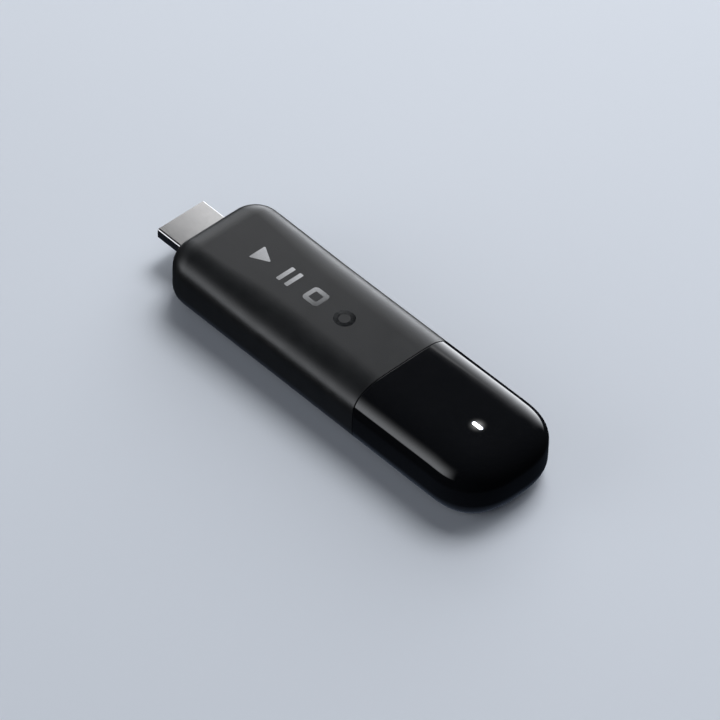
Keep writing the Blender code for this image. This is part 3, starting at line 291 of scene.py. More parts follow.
@dataclass(frozen=True)
class PolishedPlastic(Finish):
    """A moulding from a mirror-polished mould: deep gloss, faint orange peel, hairline scratches.

    Peel is the width of one swell of the surface. Scratches lie along the piece and are a few
    hundredths of a millimetre wide, drawn a little wider than life so that they show. A pattern
    below zero leaves the surface clean, which keeps scratches and dust sparse. Round a light, a
    glow is painted on as emission, as if it bled through the wall: glow_centre is its middle and
    glow_reach how far it reaches outwards.
    """

    peel: float = 3.2 * MM
    peel_height: float = 0.0006 * MM
    scratch: float = 0.07 * MM
    scratch_stretch: float = 60.0
    scratch_span: tuple[float, float] = (-1.2, 0.9)
    scratch_roughness: float = 0.05
    wipe: float = 5.0 * MM
    wipe_stretch: float = 2.4
    wipe_roughness: float = 0.035
    dust: float = 0.12 * MM
    dust_span: tuple[float, float] = (-3.4, 1.0)
    glow_centre: Point | None = None
    glow_reach: float = 2.6 * MM
    glow_strength: float = 0.55
    glow_fall: float = 3.0

    def paint(self, tree: bpy.types.NodeTree, shader: bpy.types.Node, place: bpy.types.NodeSocket) -> None:
        """Peel in the bump, scratches and wipe marks in the roughness, dust in the colour.

        Args:
            tree: the node tree.
            shader: the surface shader.
            place: where on the piece, in metres.
        """
        lengthwise = (self.scratch_stretch, 1.0, 1.0)
        hairs = clouds(tree, place, self.scratch, *self.scratch_span, stretch=lengthwise, detail=1.0)
        crosswise = (1.0, self.wipe_stretch, 1.0)
        wipes = clouds(tree, place, self.wipe, 0.0, self.wipe_roughness, stretch=crosswise)
        marks = add(tree, "ShaderNodeMath", {0: hairs, 1: 0.0}, operation="MAXIMUM").outputs[0]
        worn = {0: marks, 1: self.scratch_roughness, 2: wipes}
        faint = add(tree, "ShaderNodeMath", worn, operation="MULTIPLY_ADD")
        rough = add(tree, "ShaderNodeMath", {0: faint.outputs[0], 1: self.roughness}, operation="ADD")
        tree.links.new(rough.outputs[0], shader.inputs["Roughness"])
        dust = clouds(tree, place, self.dust, *self.dust_span, detail=1.0)
        specks = add(tree, "ShaderNodeMath", {0: dust, 1: 0.0}, operation="MAXIMUM", use_clamp=True)
        tree.links.new(self.two_tone(tree, specks.outputs[0]), shader.inputs["Base Color"])
        # Painted glow: the cap is no lamp, yet it emits light round the light window.
        if self.glow_centre:
            self.paint_glow(tree, shader, place)
        swell = clouds(tree, place, self.peel, 0.0, 1.0, detail=0.0)
        bump = {"Height": swell, "Distance": self.peel_height, "Strength": 1.0}
        tree.links.new(add(tree, "ShaderNodeBump", bump).outputs[0], shader.inputs["Normal"])

    def paint_glow(self, tree: bpy.types.NodeTree, shader: bpy.types.Node, place: bpy.types.NodeSocket) -> None:
        """A painted glow round the light, which fades quickly outwards: faint emission on the surface itself.

        Args:
            tree: the node tree.
            shader: the surface shader.
            place: where on the piece, in metres.
        """
        offset = add(tree, "ShaderNodeVectorMath", {0: place, 1: self.glow_centre}, operation="DISTANCE")
        fall = {"Value": offset.outputs["Value"], "From Min": self.glow_reach, "From Max": 0.0}
        near = add(tree, "ShaderNodeMapRange", fall).outputs["Result"]
        painted_fade = add(tree, "ShaderNodeMath", {0: near, 1: self.glow_fall}, operation="POWER").outputs[0]
        white = {0: painted_fade, 6: (0.0, 0.0, 0.0, 1.0), 7: (1.0, 1.0, 1.0, 1.0)}
        glow = add(tree, "ShaderNodeMix", white, data_type="RGBA").outputs[2]
        tree.links.new(glow, shader.inputs["Emission Color"])
        shader.inputs["Emission Strength"].default_value = self.glow_strength


@dataclass(frozen=True)
class LitPlastic(Finish):
    """Milky plastic lit from behind: brightest over the diode, softer towards its rim.

    The light is full over the core, which is a share of its reach. Haze is the width of the
    filler's clouds and haze_depth how far they push the fall in and out. Mottle is the width of
    the patches in the roughness, which moves down by smoother and up by rougher.
    """

    strength: float = 4.0
    centre: Point = (0.0, 0.0, 0.0)
    reach: float = 1.7 * MM
    core: float = 0.4
    haze: float = 0.2 * MM
    haze_depth: float = 0.1 * MM
    mottle: float = 0.4 * MM
    smoother: float = 0.05
    rougher: float = 0.1

    def paint(self, tree: bpy.types.NodeTree, shader: bpy.types.Node, place: bpy.types.NodeSocket) -> None:
        """The glow and its fall from the middle, and the haze of the filler.

        Args:
            tree: the node tree.
            shader: the surface shader.
            place: where on the piece, in metres.
        """
        offset = add(tree, "ShaderNodeVectorMath", {0: place, 1: self.centre}, operation="DISTANCE")
        haze = clouds(tree, place, self.haze, -self.haze_depth, self.haze_depth)
        far = add(tree, "ShaderNodeMath", {0: offset.outputs["Value"], 1: haze}, operation="ADD")
        fall = {"Value": far.outputs[0], "From Min": self.core * self.reach, "From Max": self.reach}
        glow = self.two_tone(tree, add(tree, "ShaderNodeMapRange", fall).outputs["Result"])
        tree.links.new(glow, shader.inputs["Base Color"])
        tree.links.new(glow, shader.inputs["Emission Color"])
        shader.inputs["Emission Strength"].default_value = self.strength
        least, most = self.roughness - self.smoother, self.roughness + self.rougher
        rough = clouds(tree, place, self.mottle, least, most)
        tree.links.new(rough, shader.inputs["Roughness"])


@dataclass(frozen=True)
class WorkedMetal(Finish):
    """Rolled, drawn or sawn metal: fine lines along one axis, with a thin film that dulls in patches.

    Line is the width of one line, line_height its depth, and along how many times longer it is.
    Film is the width of a patch of the film, film_tone how much it changes the colour, and
    film_grain how wide the patches in the roughness are beside it.
    """

    metallic: float = 1.0
    line: float = 0.05 * MM
    line_height: float = 0.0008 * MM
    along: Point = (80.0, 1.0, 1.0)
    film: float = 2.5 * MM
    spread: float = 0.05
    film_tone: float = 0.8
    film_grain: float = 0.6

    def paint(self, tree: bpy.types.NodeTree, shader: bpy.types.Node, place: bpy.types.NodeSocket) -> None:
        """Lines in roughness and bump, the film in colour and roughness.

        Args:
            tree: the node tree.
            shader: the surface shader.
            place: where on the piece, in metres.
        """
        lines = clouds(tree, place, self.line, 0.0, 1.0, stretch=self.along, detail=2.0)
        dulling = clouds(tree, place, self.film, 0.0, self.film_tone)
        tree.links.new(self.two_tone(tree, dulling), shader.inputs["Base Color"])
        patch = self.film_grain * self.film
        patches = clouds(tree, place, patch, self.roughness - self.spread, self.roughness)
        scored = {0: lines, 1: self.spread, 2: patches}
        rough = add(tree, "ShaderNodeMath", scored, operation="MULTIPLY_ADD")
        tree.links.new(rough.outputs[0], shader.inputs["Roughness"])
        bump = {"Height": lines, "Distance": self.line_height, "Strength": 1.0}
        tree.links.new(add(tree, "ShaderNodeBump", bump).outputs[0], shader.inputs["Normal"])


@dataclass(frozen=True)
class SolderMask(Finish):
    """Green lacquer over copper tracks: raised lines, brighter where copper lies below.

    Track_width, track_edge and track_run are shares of the pitch. Lacquer is the width of the slow
    patches in the gloss, and spread how far they move the roughness.
    """

    track_pitch: float = 0.9 * MM
    track_height: float = 0.02 * MM
    track_width: float = 0.12
    track_edge: float = 0.3
    track_run: float = 4.0
    lacquer: float = 1.5 * MM
    spread: float = 0.05

    def paint(self, tree: bpy.types.NodeTree, shader: bpy.types.Node, place: bpy.types.NodeSocket) -> None:
        """Tracks as the joints of a brick pattern, under a smooth lacquer.

        Args:
            tree: the node tree.
            shader: the surface shader.
            place: where on the piece, in metres.
        """
        grid = {"Vector": place, "Scale": 1.0 / self.track_pitch}
        grid |= {"Mortar Size": self.track_width, "Mortar Smooth": self.track_edge}
        grid |= {"Brick Width": self.track_run, "Row Height": 1.0}
        tracks = add(tree, "ShaderNodeTexBrick", grid).outputs["Fac"]
        tree.links.new(self.two_tone(tree, tracks), shader.inputs["Base Color"])
        least, most = self.roughness - self.spread, self.roughness + self.spread
        rough = clouds(tree, place, self.lacquer, least, most)
        tree.links.new(rough, shader.inputs["Roughness"])
        bump = {"Height": tracks, "Distance": self.track_height, "Strength": 1.0}
        tree.links.new(add(tree, "ShaderNodeBump", bump).outputs[0], shader.inputs["Normal"])


# Spark-eroded ABS: a dry charcoal skin that scatters highlights into soft grey bands.
SPARK_ERODED_ABS = HandledPlastic(
    "spark_eroded_abs",
    "#1b1c1d",
    "#212223",
    0.36,
    spread=0.03,
    ior=1.53,
    grain=0.28 * MM,
    grain_height=0.005 * MM,
)
# Mirror-polished ABS: piano black that shows the room as crisp bands on its rounded edges.
MIRROR_POLISHED_ABS = PolishedPlastic("mirror_polished_abs", "#101113", "#1f2023", 0.05, ior=1.53)
# Diffusing polycarbonate: chalky white resin that glows evenly over the diode.
DIFFUSING_POLYCARBONATE = LitPlastic("diffusing_polycarbonate", "#ffffff", "#d5e2ff", 0.3, ior=1.58)
# Phosphor-coated diode: the source itself, a shade warmer and stronger than the guide.
PHOSPHOR_LED = LitPlastic("phosphor_led", "#fffaf0", "#f3f6ff", 0.35, ior=1.5, strength=8.0)
# Nickel-plated rolled steel: bright, slightly warm, with faint rolling lines along the plug.
NICKEL_PLATED_STEEL = WorkedMetal("nickel_plated_steel", "#bdbdbe", "#b8b8b9", 0.14, spread=0.01)
# Hot-stamped mirror foil: a silver film that takes the tone of whatever it faces.
STAMPED_FOIL = WorkedMetal(
    "hot_stamped_foil", "#c6c8cb", "#bbbdc1", 0.07, line=0.3 * MM, line_height=0.0002 * MM, spread=0.02
)
# Gold flash on copper alloy: warm thin plating with drawn lines along each contact.
GOLD_FLASH = WorkedMetal("gold_flash_on_copper", "#f2cf86", "#dcae5e", 0.24, along=(40.0, 1.0, 4.0))
# Glass-filled nylon: dull black with short fibres that make the surface slightly pebbled.
GLASS_FILLED_NYLON = MouldedPlastic(
    "glass_filled_nylon", "#141415", "#1f1f21", 0.52, ior=1.53, grain=0.12 * MM, grain_height=0.003 * MM
)
# Solder mask over a glass-epoxy board: glossy green with raised tracks.
SOLDER_MASKED_BOARD = SolderMask("solder_masked_laminate", "#0d4a26", "#1d7a44", 0.3, ior=1.55)
# Moulded epoxy: dull black with tiny silica specks.
MOULDED_EPOXY = MouldedPlastic(
    "moulded_epoxy", "#19191b", "#26262a", 0.5, ior=1.55, grain=0.08 * MM, grain_height=0.002 * MM
)
# Tin-plated sheet: soft silver that dulls in patches.
TIN_PLATED_SHEET = WorkedMetal("tin_plated_sheet", "#cfcfcb", "#b4b4ae", 0.32)
# Filled silicone: soft blue-grey pad with a chalky bloom.
FILLED_SILICONE = MouldedPlastic(
    "filled_silicone", "#7a838c", "#8d959d", 0.78, ior=1.43, grain=0.3 * MM, grain_height=0.01 * MM
)
# Sawn extruded aluminium: pale metal with saw lines across the bar.
SAWN_ALUMINIUM = WorkedMetal(
    "sawn_extruded_aluminium", "#dcdddf", "#c4c6c9", 0.36, line=0.15 * MM, along=(1.0, 40.0, 1.0)
)
# Pressed ferrite: dark grey-brown powder body with visible grains.
PRESSED_FERRITE = MouldedPlastic(
    "pressed_ferrite", "#3a3836", "#4a4744", 0.6, ior=1.6, grain=0.1 * MM, flow=1.5 * MM
)
# Plain moulded tray: dark grey resin straight from a turned mould.
PLAIN_MOULDED_RESIN = MouldedPlastic("plain_moulded_resin", "#3a3b3c", "#444546", 0.5, ior=1.53)
# Black zinc plating: dark metal with a faint blue film over turned steel.
BLACK_ZINC_STEEL = WorkedMetal("black_zinc_plated_steel", "#3b3c41", "#2c2d33", 0.38, along=(1.0, 1.0, 1.0))


# ================================================================ shapes
class Axis(Enum):
    """The axis that a flat outline is drawn out along."""

    X = "x"
    Y = "y"
    Z = "z"

    def place(self, u: float, v: float, along: float) -> Vector:
        """Turns an outline's two numbers and a distance along the axis into a point.

        Args:
            u: the outline's first number.
            v: its second number.
            along: the distance along the axis.

        Returns:
            The point.
        """
        if self is Axis.X:
            return Vector((along, u, v))
        if self is Axis.Y:
            return Vector((u, along, v))
        return Vector((u, v, along))


def rectangle(width: float, height: float) -> Outline:
    """Corners of a rectangle round the origin, counter-clockwise."""
    right, top = width / 2, height / 2
    return [(-right, -top), (right, -top), (right, top), (-right, top)]


def rounded(corners: Outline, radius: float, steps: int) -> Outline:
    """Replaces each corner of an outline by an arc.

    Args:
        corners: the outline's corners in order, counter-clockwise.
        radius: the arc's radius.
        steps: how many straight steps each arc has.

    Returns:
        The rounded outline.
    """
    outline = []
    for index, corner in enumerate(corners):
        here = Vector(corner)
        before = (Vector(corners[index - 1]) - here).normalized()
        after = (Vector(corners[(index + 1) % len(corners)]) - here).normalized()
        half_angle = before.angle(after) / 2
        centre = here + (before + after).normalized() * radius / math.sin(half_angle)
        spoke = here + before * radius / math.tan(half_angle) - centre
        first = math.atan2(spoke.y, spoke.x)
        for step in range(steps + 1):
            turn = first + (math.pi - 2 * half_angle) * step / steps
            outline.append((centre.x + radius * math.cos(turn), centre.y + radius * math.sin(turn)))
    return outline


def pill(length: float, width: float, steps: int = 12) -> Outline:
    """A slot-shaped outline with round ends, its long side along the first number."""
    return rounded(rectangle(length, width), width / 2 * ALMOST_ROUND, steps)


def evenly_turned(width: float, height: float, power: float, turn: float) -> tuple[float, float]:
    """The point of a superellipse's first quarter that faces a given way.

    Args:
        width: the half width.
        height: the half height.
        power: 2 is an ellipse, and more is squarer.
        turn: which way the outline faces there, from 0 at the side to a quarter turn at the top.

    Returns:
        The point, from the middle.
    """
    across, up = width * max(math.cos(turn), 0.0), height * max(math.sin(turn), 0.0)
    size = (across ** (power / (power - 1)) + up ** (power / (power - 1))) ** (1 / power)
    return width * across ** (1 / (power - 1)) / size, height * up ** (1 / (power - 1)) / size


def ring(radius: float, steps: int = 48) -> Outline:
    """A round outline."""
    turns = [math.tau * step / steps for step in range(steps)]
    return [(radius * math.cos(turn), radius * math.sin(turn)) for turn in turns]


def connector_outline(width: float, height: float, run: float, rise: float, corner: float) -> Outline:
    """The D-like section of a display plug or a power socket, narrow at the bottom.

    Args:
        width: the full width.
        height: the full height.
        run: how far each slanted side comes in.
        rise: how high each slanted side is.
        corner: the radius of the corners.

    Returns:
        The outline round its own centre.
    """
    right, top = width / 2, height / 2
    corners = [(-right + run, -top), (right - run, -top), (right, -top + rise)]
    corners += [(right, top), (-right, top), (-right, -top + rise)]
    return rounded(corners, corner, 6)


def band(path: Outline, width: float) -> Outline:
    """The outline of a narrow strip that follows a path with sharp turns.

    Args:
        path: the strip's middle line.
        width: how wide it is.

    Returns:
        Its left side and then its right side, back to the start.
    """
    points = [Vector(point) for point in path]
    runs = [(after - before).normalized() for before, after in zip(points, points[1:])]
    left, right = [], []
    for here, behind, ahead in zip(points, [runs[0], *runs], [*runs, runs[-1]]):
        along = (ahead + behind).normalized()
        out = Vector((-along.y, along.x)) * width / 2 / max(along.dot(ahead), MITRE_LIMIT)
        left.append(tuple(here + out))
        right.append(tuple(here - out))
    return left + right[::-1]


def loft(
    outlines: list[Outline], levels: list[float], axis: Axis, centre: Point, looped: bool = False
) -> bmesh.types.BMesh:
    """Skins a series of outlines that all have the same number of points.

    Args:
        outlines: one outline for each level.
        levels: how far along the axis each outline lies.
        axis: the axis that the outlines are stacked along.
        centre: where the outlines' own centre and level zero lie.
        looped: whether the last outline meets the first, which makes a tube, or both are capped.

    Returns:
        The closed shape.
    """
    shape = bmesh.new()
    middle = Vector(centre)
    rings = [
        [shape.verts.new(middle + axis.place(u, v, level)) for u, v in outline]
        for outline, level in zip(outlines, levels)
    ]
    pairs = list(zip(rings, rings[1:]))
    if looped:
        pairs.append((rings[-1], rings[0]))
    for low, high in pairs:
        for at in range(len(low)):
            after = (at + 1) % len(low)
            shape.faces.new((low[at], low[after], high[after], high[at]))
    if not looped:
        shape.faces.new(rings[0])
        shape.faces.new(rings[-1])
    bmesh.ops.recalc_face_normals(shape, faces=shape.faces)
    return shape


def lip(radius: float, steps: int = 4) -> list[tuple[float, float]]:
    """How a rounded rim opens out: for each step, how much wider it is and how deep it lies.

    Args:
        radius: the rim's radius.
        steps: how many straight steps the rounding has.

    Returns:
        Pairs of widening and depth, from the surface down.
    """
    turns = [QUARTER * step / steps for step in range(steps + 1)]
    return [(radius * (1 - math.sin(turn)), radius * (1 - math.cos(turn))) for turn in turns]


def new_object(name: str, shape: bmesh.types.BMesh) -> bpy.types.Object:
    """Makes an object of a shape and frees the shape.

    Args:
        name: the object's name.
        shape: what it is made of.

    Returns:
        The linked object.
    """
    mesh = bpy.data.meshes.new(name)
    shape.to_mesh(mesh)
    shape.free()
    made = bpy.data.objects.new(name, mesh)
    bpy.context.scene.collection.objects.link(made)
    return made


def combine(target: bpy.types.Object, shapes: list[bmesh.types.BMesh], operation: str) -> None:
    """Cuts shapes out of an object or joins them to it, and keeps only the result.

    The result is made of triangles, and the slivers that the cut left are closed up.

    Args:
        target: the object that changes.
        shapes: the cutters or additions, which are freed.
        operation: DIFFERENCE or UNION.
    """
    tools = [new_object(f"tool_{number}", shape) for number, shape in enumerate(shapes)]
    for tool in tools:
        modifier = target.modifiers.new(tool.name, "BOOLEAN")
        modifier.operation = operation
        modifier.solver = "MANIFOLD"
        modifier.object = tool
    evaluated = target.evaluated_get(bpy.context.evaluated_depsgraph_get())
    result = bpy.data.meshes.new_from_object(evaluated)
    target.modifiers.clear()
    plain, target.data = target.data, result
    bpy.data.meshes.remove(plain)
    cleaned = bmesh.new()
    cleaned.from_mesh(result)
    bmesh.ops.triangulate(cleaned, faces=cleaned.faces)
    bmesh.ops.dissolve_degenerate(cleaned, edges=cleaned.edges, dist=SLIVER)
    bmesh.ops.remove_doubles(cleaned, verts=cleaned.verts, dist=SLIVER)
    cleaned.to_mesh(result)
    cleaned.free()
    for tool in tools:
        bpy.data.objects.remove(tool)


def dress(
    piece: bpy.types.Object,
    finish: bpy.types.Material,
    body: str,
    stands_for: tuple[str, ...] = (),
    sharp_degrees: float = SHARP_DEGREES,
) -> None:
    """Gives a new piece its finish, its shading and its place on a body, and reports it.

    Args:
        piece: the new piece.
        finish: its material.
        body: the body that it moves with.
        stands_for: the CAD nodes that it replaces.
        sharp_degrees: edges that turn more than this stay sharp.
    """
    piece.data.materials.clear()
    piece.data.materials.append(finish)
    piece.data.shade_smooth()
    piece.data.set_sharp_from_angle(angle=math.radians(sharp_degrees))
    flat_first = piece.modifiers.new("flat_faces_stay_flat", "WEIGHTED_NORMAL")
    flat_first.keep_sharp = True
    flat_first.weight = LARGE_FACE_WEIGHT
    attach(piece, body)
    if stands_for:
        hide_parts(*stands_for)
    LOG.info("%s: %d faces on %s", piece.name, len(piece.data.polygons), body)


# ================================================================ casing
@dataclass(frozen=True)
class Station:
    """A place on the body's plan outline: the point and its outward direction.

    Taken_in is how far the surface is moved in there, and narrowed is how much less far the crown
    reaches over the top.
    """

    x: float
    y: float
    out_x: float
    out_y: float
    taken_in: float = 0.0
    narrowed: float = 0.0

    def mirrored(self) -> "Station":
        """The same place on the other long side."""
        return replace(self, y=-self.y, out_y=-self.out_y)


@dataclass(frozen=True)
class BodyForm:
    """The rounded bar that the sleeve and the cap are both parts of."""

    plug_end: float
    round_end: float
    half_width: float
    height: float
    crown_width: float = 9.1 * MM
    crown_drop: float = 6.6 * MM
    crown_power: float = 2.45
    crown_crowding: float = 2.0
    bottom_radius: float = 4.9 * MM
    corner: float = 7.2 * MM
    end_depth: float = 13.6 * MM
    end_power: float = 2.62
    corner_crown: float = 0.97
    corner_steps: int = 22
    easing: float = 26.0 * MM
    easing_steps: int = 12
    end_steps: int = 40
    fillet_steps: int = 28

    @classmethod
    def of_frame(cls) -> "BodyForm":
        """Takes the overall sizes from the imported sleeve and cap.

        Returns:
            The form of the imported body.
        """
        sleeve_low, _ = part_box("matte_sleeve")
        _, cap_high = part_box("gloss_end_cap")
        return cls(sleeve_low.x, cap_high.x, cap_high.y, cap_high.z)

    def corner_stations(self) -> list[Station]:
        """The plug end's corner, with the stretch before it where the crown narrows.

        Returns:
            Stations with Y above zero, from the straight side to the flat end.
        """
        stations = []
        narrowed = self.crown_width - self.corner_crown * self.corner
        for step in range(self.easing_steps):
            share = step / self.easing_steps
            x = self.plug_end + self.corner + self.easing * (1 - share)
            eased = narrowed * share * share * (3 - 2 * share)
            stations.append(Station(x, self.half_width, 0.0, 1.0, narrowed=eased))
        for step in range(self.corner_steps + 1):
            turn = QUARTER * (1 + step / self.corner_steps)
            out_x, out_y = math.cos(turn), math.sin(turn)
            x = self.plug_end + self.corner * (1 + out_x)
            y = self.half_width - self.corner * (1 - out_y)
            stations.append(Station(x, y, out_x, out_y, narrowed=narrowed))
        return stations

    def end_stations(self) -> list[Station]:
        """The squarish rounded end, from the straight side to the tip, in even turns.

        The outline is a superellipse, and each station is where it faces one more turn.

        Returns:
            Stations with Y above zero, and the tip.
        """
        stations = []
        start = self.round_end - self.end_depth
        for step in range(self.end_steps + 1):
            turn = QUARTER * (1 - step / self.end_steps)
            x, y = evenly_turned(self.end_depth, self.half_width, self.end_power, turn)
            stations.append(Station(start + x, y, max(math.cos(turn), 0.0), max(math.sin(turn), 0.0)))
        return stations

    def seam_stations(self, x: float, facing: float, rim: float) -> list[Station]:
        """The last stretch of the straight side at a seam, where the rim is rounded over.

        Args:
            x: where the part ends.
            facing: +1 where the open end looks along +X, and -1 where it looks back.
            rim: the rim's radius.

        Returns:
            Stations from the open end to the side.
        """
        stations = []
        for wider, deep in lip(rim):
            stations.append(Station(x - facing * deep, self.half_width, 0.0, 1.0, wider))
        return stations

    def profile(self, taken_in: float, narrowed: float = 0.0) -> Outline:
        """One side's profile from the flat underside to the flat top.

        Args:
            taken_in: how far inside the outer surface it lies.
            narrowed: how much less far the crown reaches in.

        Returns:
            Pairs of distance in from the plan outline, and height.
        """
        low = self.bottom_radius - taken_in
        width, drop = self.crown_width - narrowed - taken_in, self.crown_drop - taken_in
        shoulder = self.height - self.crown_drop
        shares = [step / self.fillet_steps for step in range(self.fillet_steps + 1)]
        turns = [QUARTER * share for share in shares]
        rows = [(taken_in + low * (1 - math.sin(t)), taken_in + low * (1 - math.cos(t))) for t in turns]
        for share in shares:
            turn = QUARTER * (1 - (1 - share) ** self.crown_crowding)
            along, up = evenly_turned(width, drop, self.crown_power, turn)
            rows.append((taken_in + width - along, shoulder + up))
        return rows

    def section(self, taken_in: float) -> Outline:
        """The whole section across the straight stretch.

        Args:
            taken_in: how far inside the outer surface it lies.

        Returns:
            The outline in Y and Z.
        """
        right = [(self.half_width - inset, z) for inset, z in self.profile(taken_in)]
        return right + [(-y, z) for y, z in reversed(right)]

    def skin(
        self, shape: bmesh.types.BMesh, half: list[Station], taken_in: float
    ) -> list[list[bmesh.types.BMVert]]:
        """Adds one open surface of the body to a shape.

        Args:
            shape: the shape that gets the faces.
            half: the stations of the +Y side, from the seam to the far end.
            taken_in: how far inside the outer surface it lies.

        Returns:
            The vertices of each station, from the underside up.
        """
        tip = half[-1].y < ON_MIDDLE
        back = [station.mirrored() for station in reversed(half[:-1] if tip else half)]
        columns = []
        for station in half + back:
            column = []
            for inset, z in self.profile(taken_in + station.taken_in, station.narrowed):
                point = (station.x - station.out_x * inset, station.y - station.out_y * inset, z)
                column.append(shape.verts.new(point))
            columns.append(column)
        for one, two in zip(columns, columns[1:]):
            for low in range(len(one) - 1):
                shape.faces.new((one[low], two[low], two[low + 1], one[low + 1]))
        for at in range(len(columns) // 2):
            for level in (0, -1):
                corners = [columns[at], columns[at + 1], columns[-2 - at], columns[-1 - at]]
                verts = list(dict.fromkeys(column[level] for column in corners))
                if len(verts) > 2:
                    shape.faces.new(verts)
        return columns

    def shell(self, half: list[Station], seam: list[Station], wall: float) -> bmesh.types.BMesh:
        """A hollow part of the body, closed at its far end and open at the seam.

        Args:
            half: the stations of the +Y side beyond the seam, nearest first.
            seam: the rounded rim's stations, from the open end to the side.
            wall: how thick it is.

        Returns:
            The closed wall.
        """
        shape = bmesh.new()
        outside = self.skin(shape, seam + half, 0.0)
        plain = [replace(station, taken_in=0.0) for station in seam]
        inside = self.skin(shape, plain + half, wall)
        outer_rim = outside[0] + outside[-1][::-1]
        inner_rim = inside[0] + inside[-1][::-1]
        for at in range(len(outer_rim)):
            after = (at + 1) % len(outer_rim)
            shape.faces.new((outer_rim[at], outer_rim[after], inner_rim[after], inner_rim[at]))
        bmesh.ops.recalc_face_normals(shape, faces=shape.faces)
        return shape


@dataclass
class Casing:
    """The matte sleeve and the gloss end cap, with every opening in them."""

    form: BodyForm
    wall: float = WALL
    rim: float = 0.14 * MM
    clearance: float = 0.1 * MM
    opening_lip: float = 0.16 * MM
    recess_length: float = 11.6 * MM
    recess_height: float = 4.5 * MM
    recess_depth: float = 0.7 * MM
    window_length: float = 3.0 * MM
    window_width: float = 1.0 * MM
    seam_gap: float = 0.12 * MM
    spigot_length: float = 3.5 * MM
    spigot_wall: float = 1.0 * MM
    spigot_root: float = 2.6 * MM
    root_overlap: float = 0.3 * MM
    past: float = 1.0 * MM

    def opening(
        self, outlines: list[Outline], axis: Axis, surface: Point, inwards: float, depth: float, rim: float
    ) -> bmesh.types.BMesh:
        """A cutter for an opening whose rim is rounded over.

        Args:
            outlines: the opening's outline at each step of the rim, widest first.
            axis: the axis that it goes in along.
            surface: the opening's middle, on the surface that it starts from.
            inwards: which way along the axis is into the wall.
            depth: how deep it goes.
            rim: the radius of its rim.

        Returns:
            The cutter.
        """
        levels = [-inwards * self.past]
        levels += [inwards * down for _, down in lip(rim)]
        levels.append(inwards * depth)
        return loft([outlines[0], *outlines, outlines[-1]], levels, axis, surface)

    def build_sleeve(self, plug: "DisplayPlug") -> bpy.types.Object:
        """The sleeve with the plug's opening in its flat end.

        Args:
            plug: the display plug that passes through it.

        Returns:
            The sleeve.
        """
        _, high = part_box("matte_sleeve")
        seam = self.form.seam_stations(high.x, 1.0, self.rim)
        sleeve = new_object("sleeve", self.form.shell(self.form.corner_stations(), seam, self.wall))
        outlines = [plug.outline(self.clearance + wider) for wider, _ in lip(self.opening_lip)]
        centre = (self.form.plug_end, 0.0, plug.centre_height())
        mouth = self.opening(outlines, Axis.X, centre, 1.0, self.wall + self.past, self.opening_lip)
        combine(sleeve, [mouth], "DIFFERENCE")
        finish = SPARK_ERODED_ABS.material()
        dress(sleeve, finish, STICK, ("matte_sleeve",), CASING_SHARP_DEGREES)
        return sleeve

    def spigot(self, seam_x: float) -> bmesh.types.BMesh:
        """The stepped collar that plugs into the sleeve and closes the seam from inside.

        Args:
            seam_x: where the cap starts.

        Returns:
            A closed ring that overlaps the cap's wall at its root.
        """
        outer = self.wall + self.clearance
        inner = outer + self.spigot_wall
        root = self.wall - self.root_overlap
        root_start, root_end = seam_x + self.clearance, seam_x + self.spigot_root
        start = seam_x - self.spigot_length
        steps = [(start, outer), (root_start, outer), (root_start, root), (root_end, root)]
        steps += [(root_end, inner), (start, inner)]
        sections = [self.form.section(inset) for _, inset in steps]
        return loft(sections, [x for x, _ in steps], Axis.X, (0.0, 0.0, 0.0), looped=True)

    def build_cap(
        self, socket: "PowerSocket", button: "ResetButton", light: "StatusLight"
    ) -> bpy.types.Object:
        """The cap with its spigot, light window, socket recess and button hole.

        Args:
            socket: the power socket behind the recess.
            button: the reset button in its hole.
            light: the status light under the window.

        Returns:
            The cap.
        """
        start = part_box("matte_sleeve")[1].x + self.seam_gap
        seam = self.form.seam_stations(start, -1.0, self.rim)
        cap = new_object("end_cap", self.form.shell(self.form.end_stations(), seam, self.wall))
        combine(cap, [self.spigot(start)], "UNION")
        rim = self.opening_lip
        through = self.wall + self.past
        side = self.form.half_width
        recess = [pill(self.recess_length + 2 * w, self.recess_height + 2 * w) for w, _ in lip(rim)]
        mouth = [socket.outline(w) for w, _ in lip(rim)]
        hole = [ring(button.radius + self.clearance + w) for w, _ in lip(rim)]
        window_rim = self.clearance
        window = [pill(self.window_length + 2 * w, self.window_width + 2 * w) for w, _ in lip(window_rim)]
        socket_x, socket_z = socket.centre()
        button_x, button_z = button.centre()
        floor_middle = (socket_x, side - self.recess_depth, socket_z)
        cutters = [
            self.opening(recess, Axis.Y, (socket_x, side, socket_z), -1.0, self.recess_depth, rim),
            self.opening(mouth, Axis.Y, floor_middle, -1.0, through, rim),
            self.opening(hole, Axis.Y, (button_x, side, button_z), -1.0, through, rim),
            self.opening(window, Axis.Z, (*light.centre(), self.form.height), -1.0, through, window_rim),
        ]
        combine(cap, cutters, "DIFFERENCE")
        # The cap takes a painted glow, emission round the light window.
        polished = replace(MIRROR_POLISHED_ABS, glow_centre=(*light.centre(), self.form.height))
        finish = polished.material()
        dress(cap, finish, STICK, ("gloss_end_cap",), CASING_SHARP_DEGREES)
        return cap


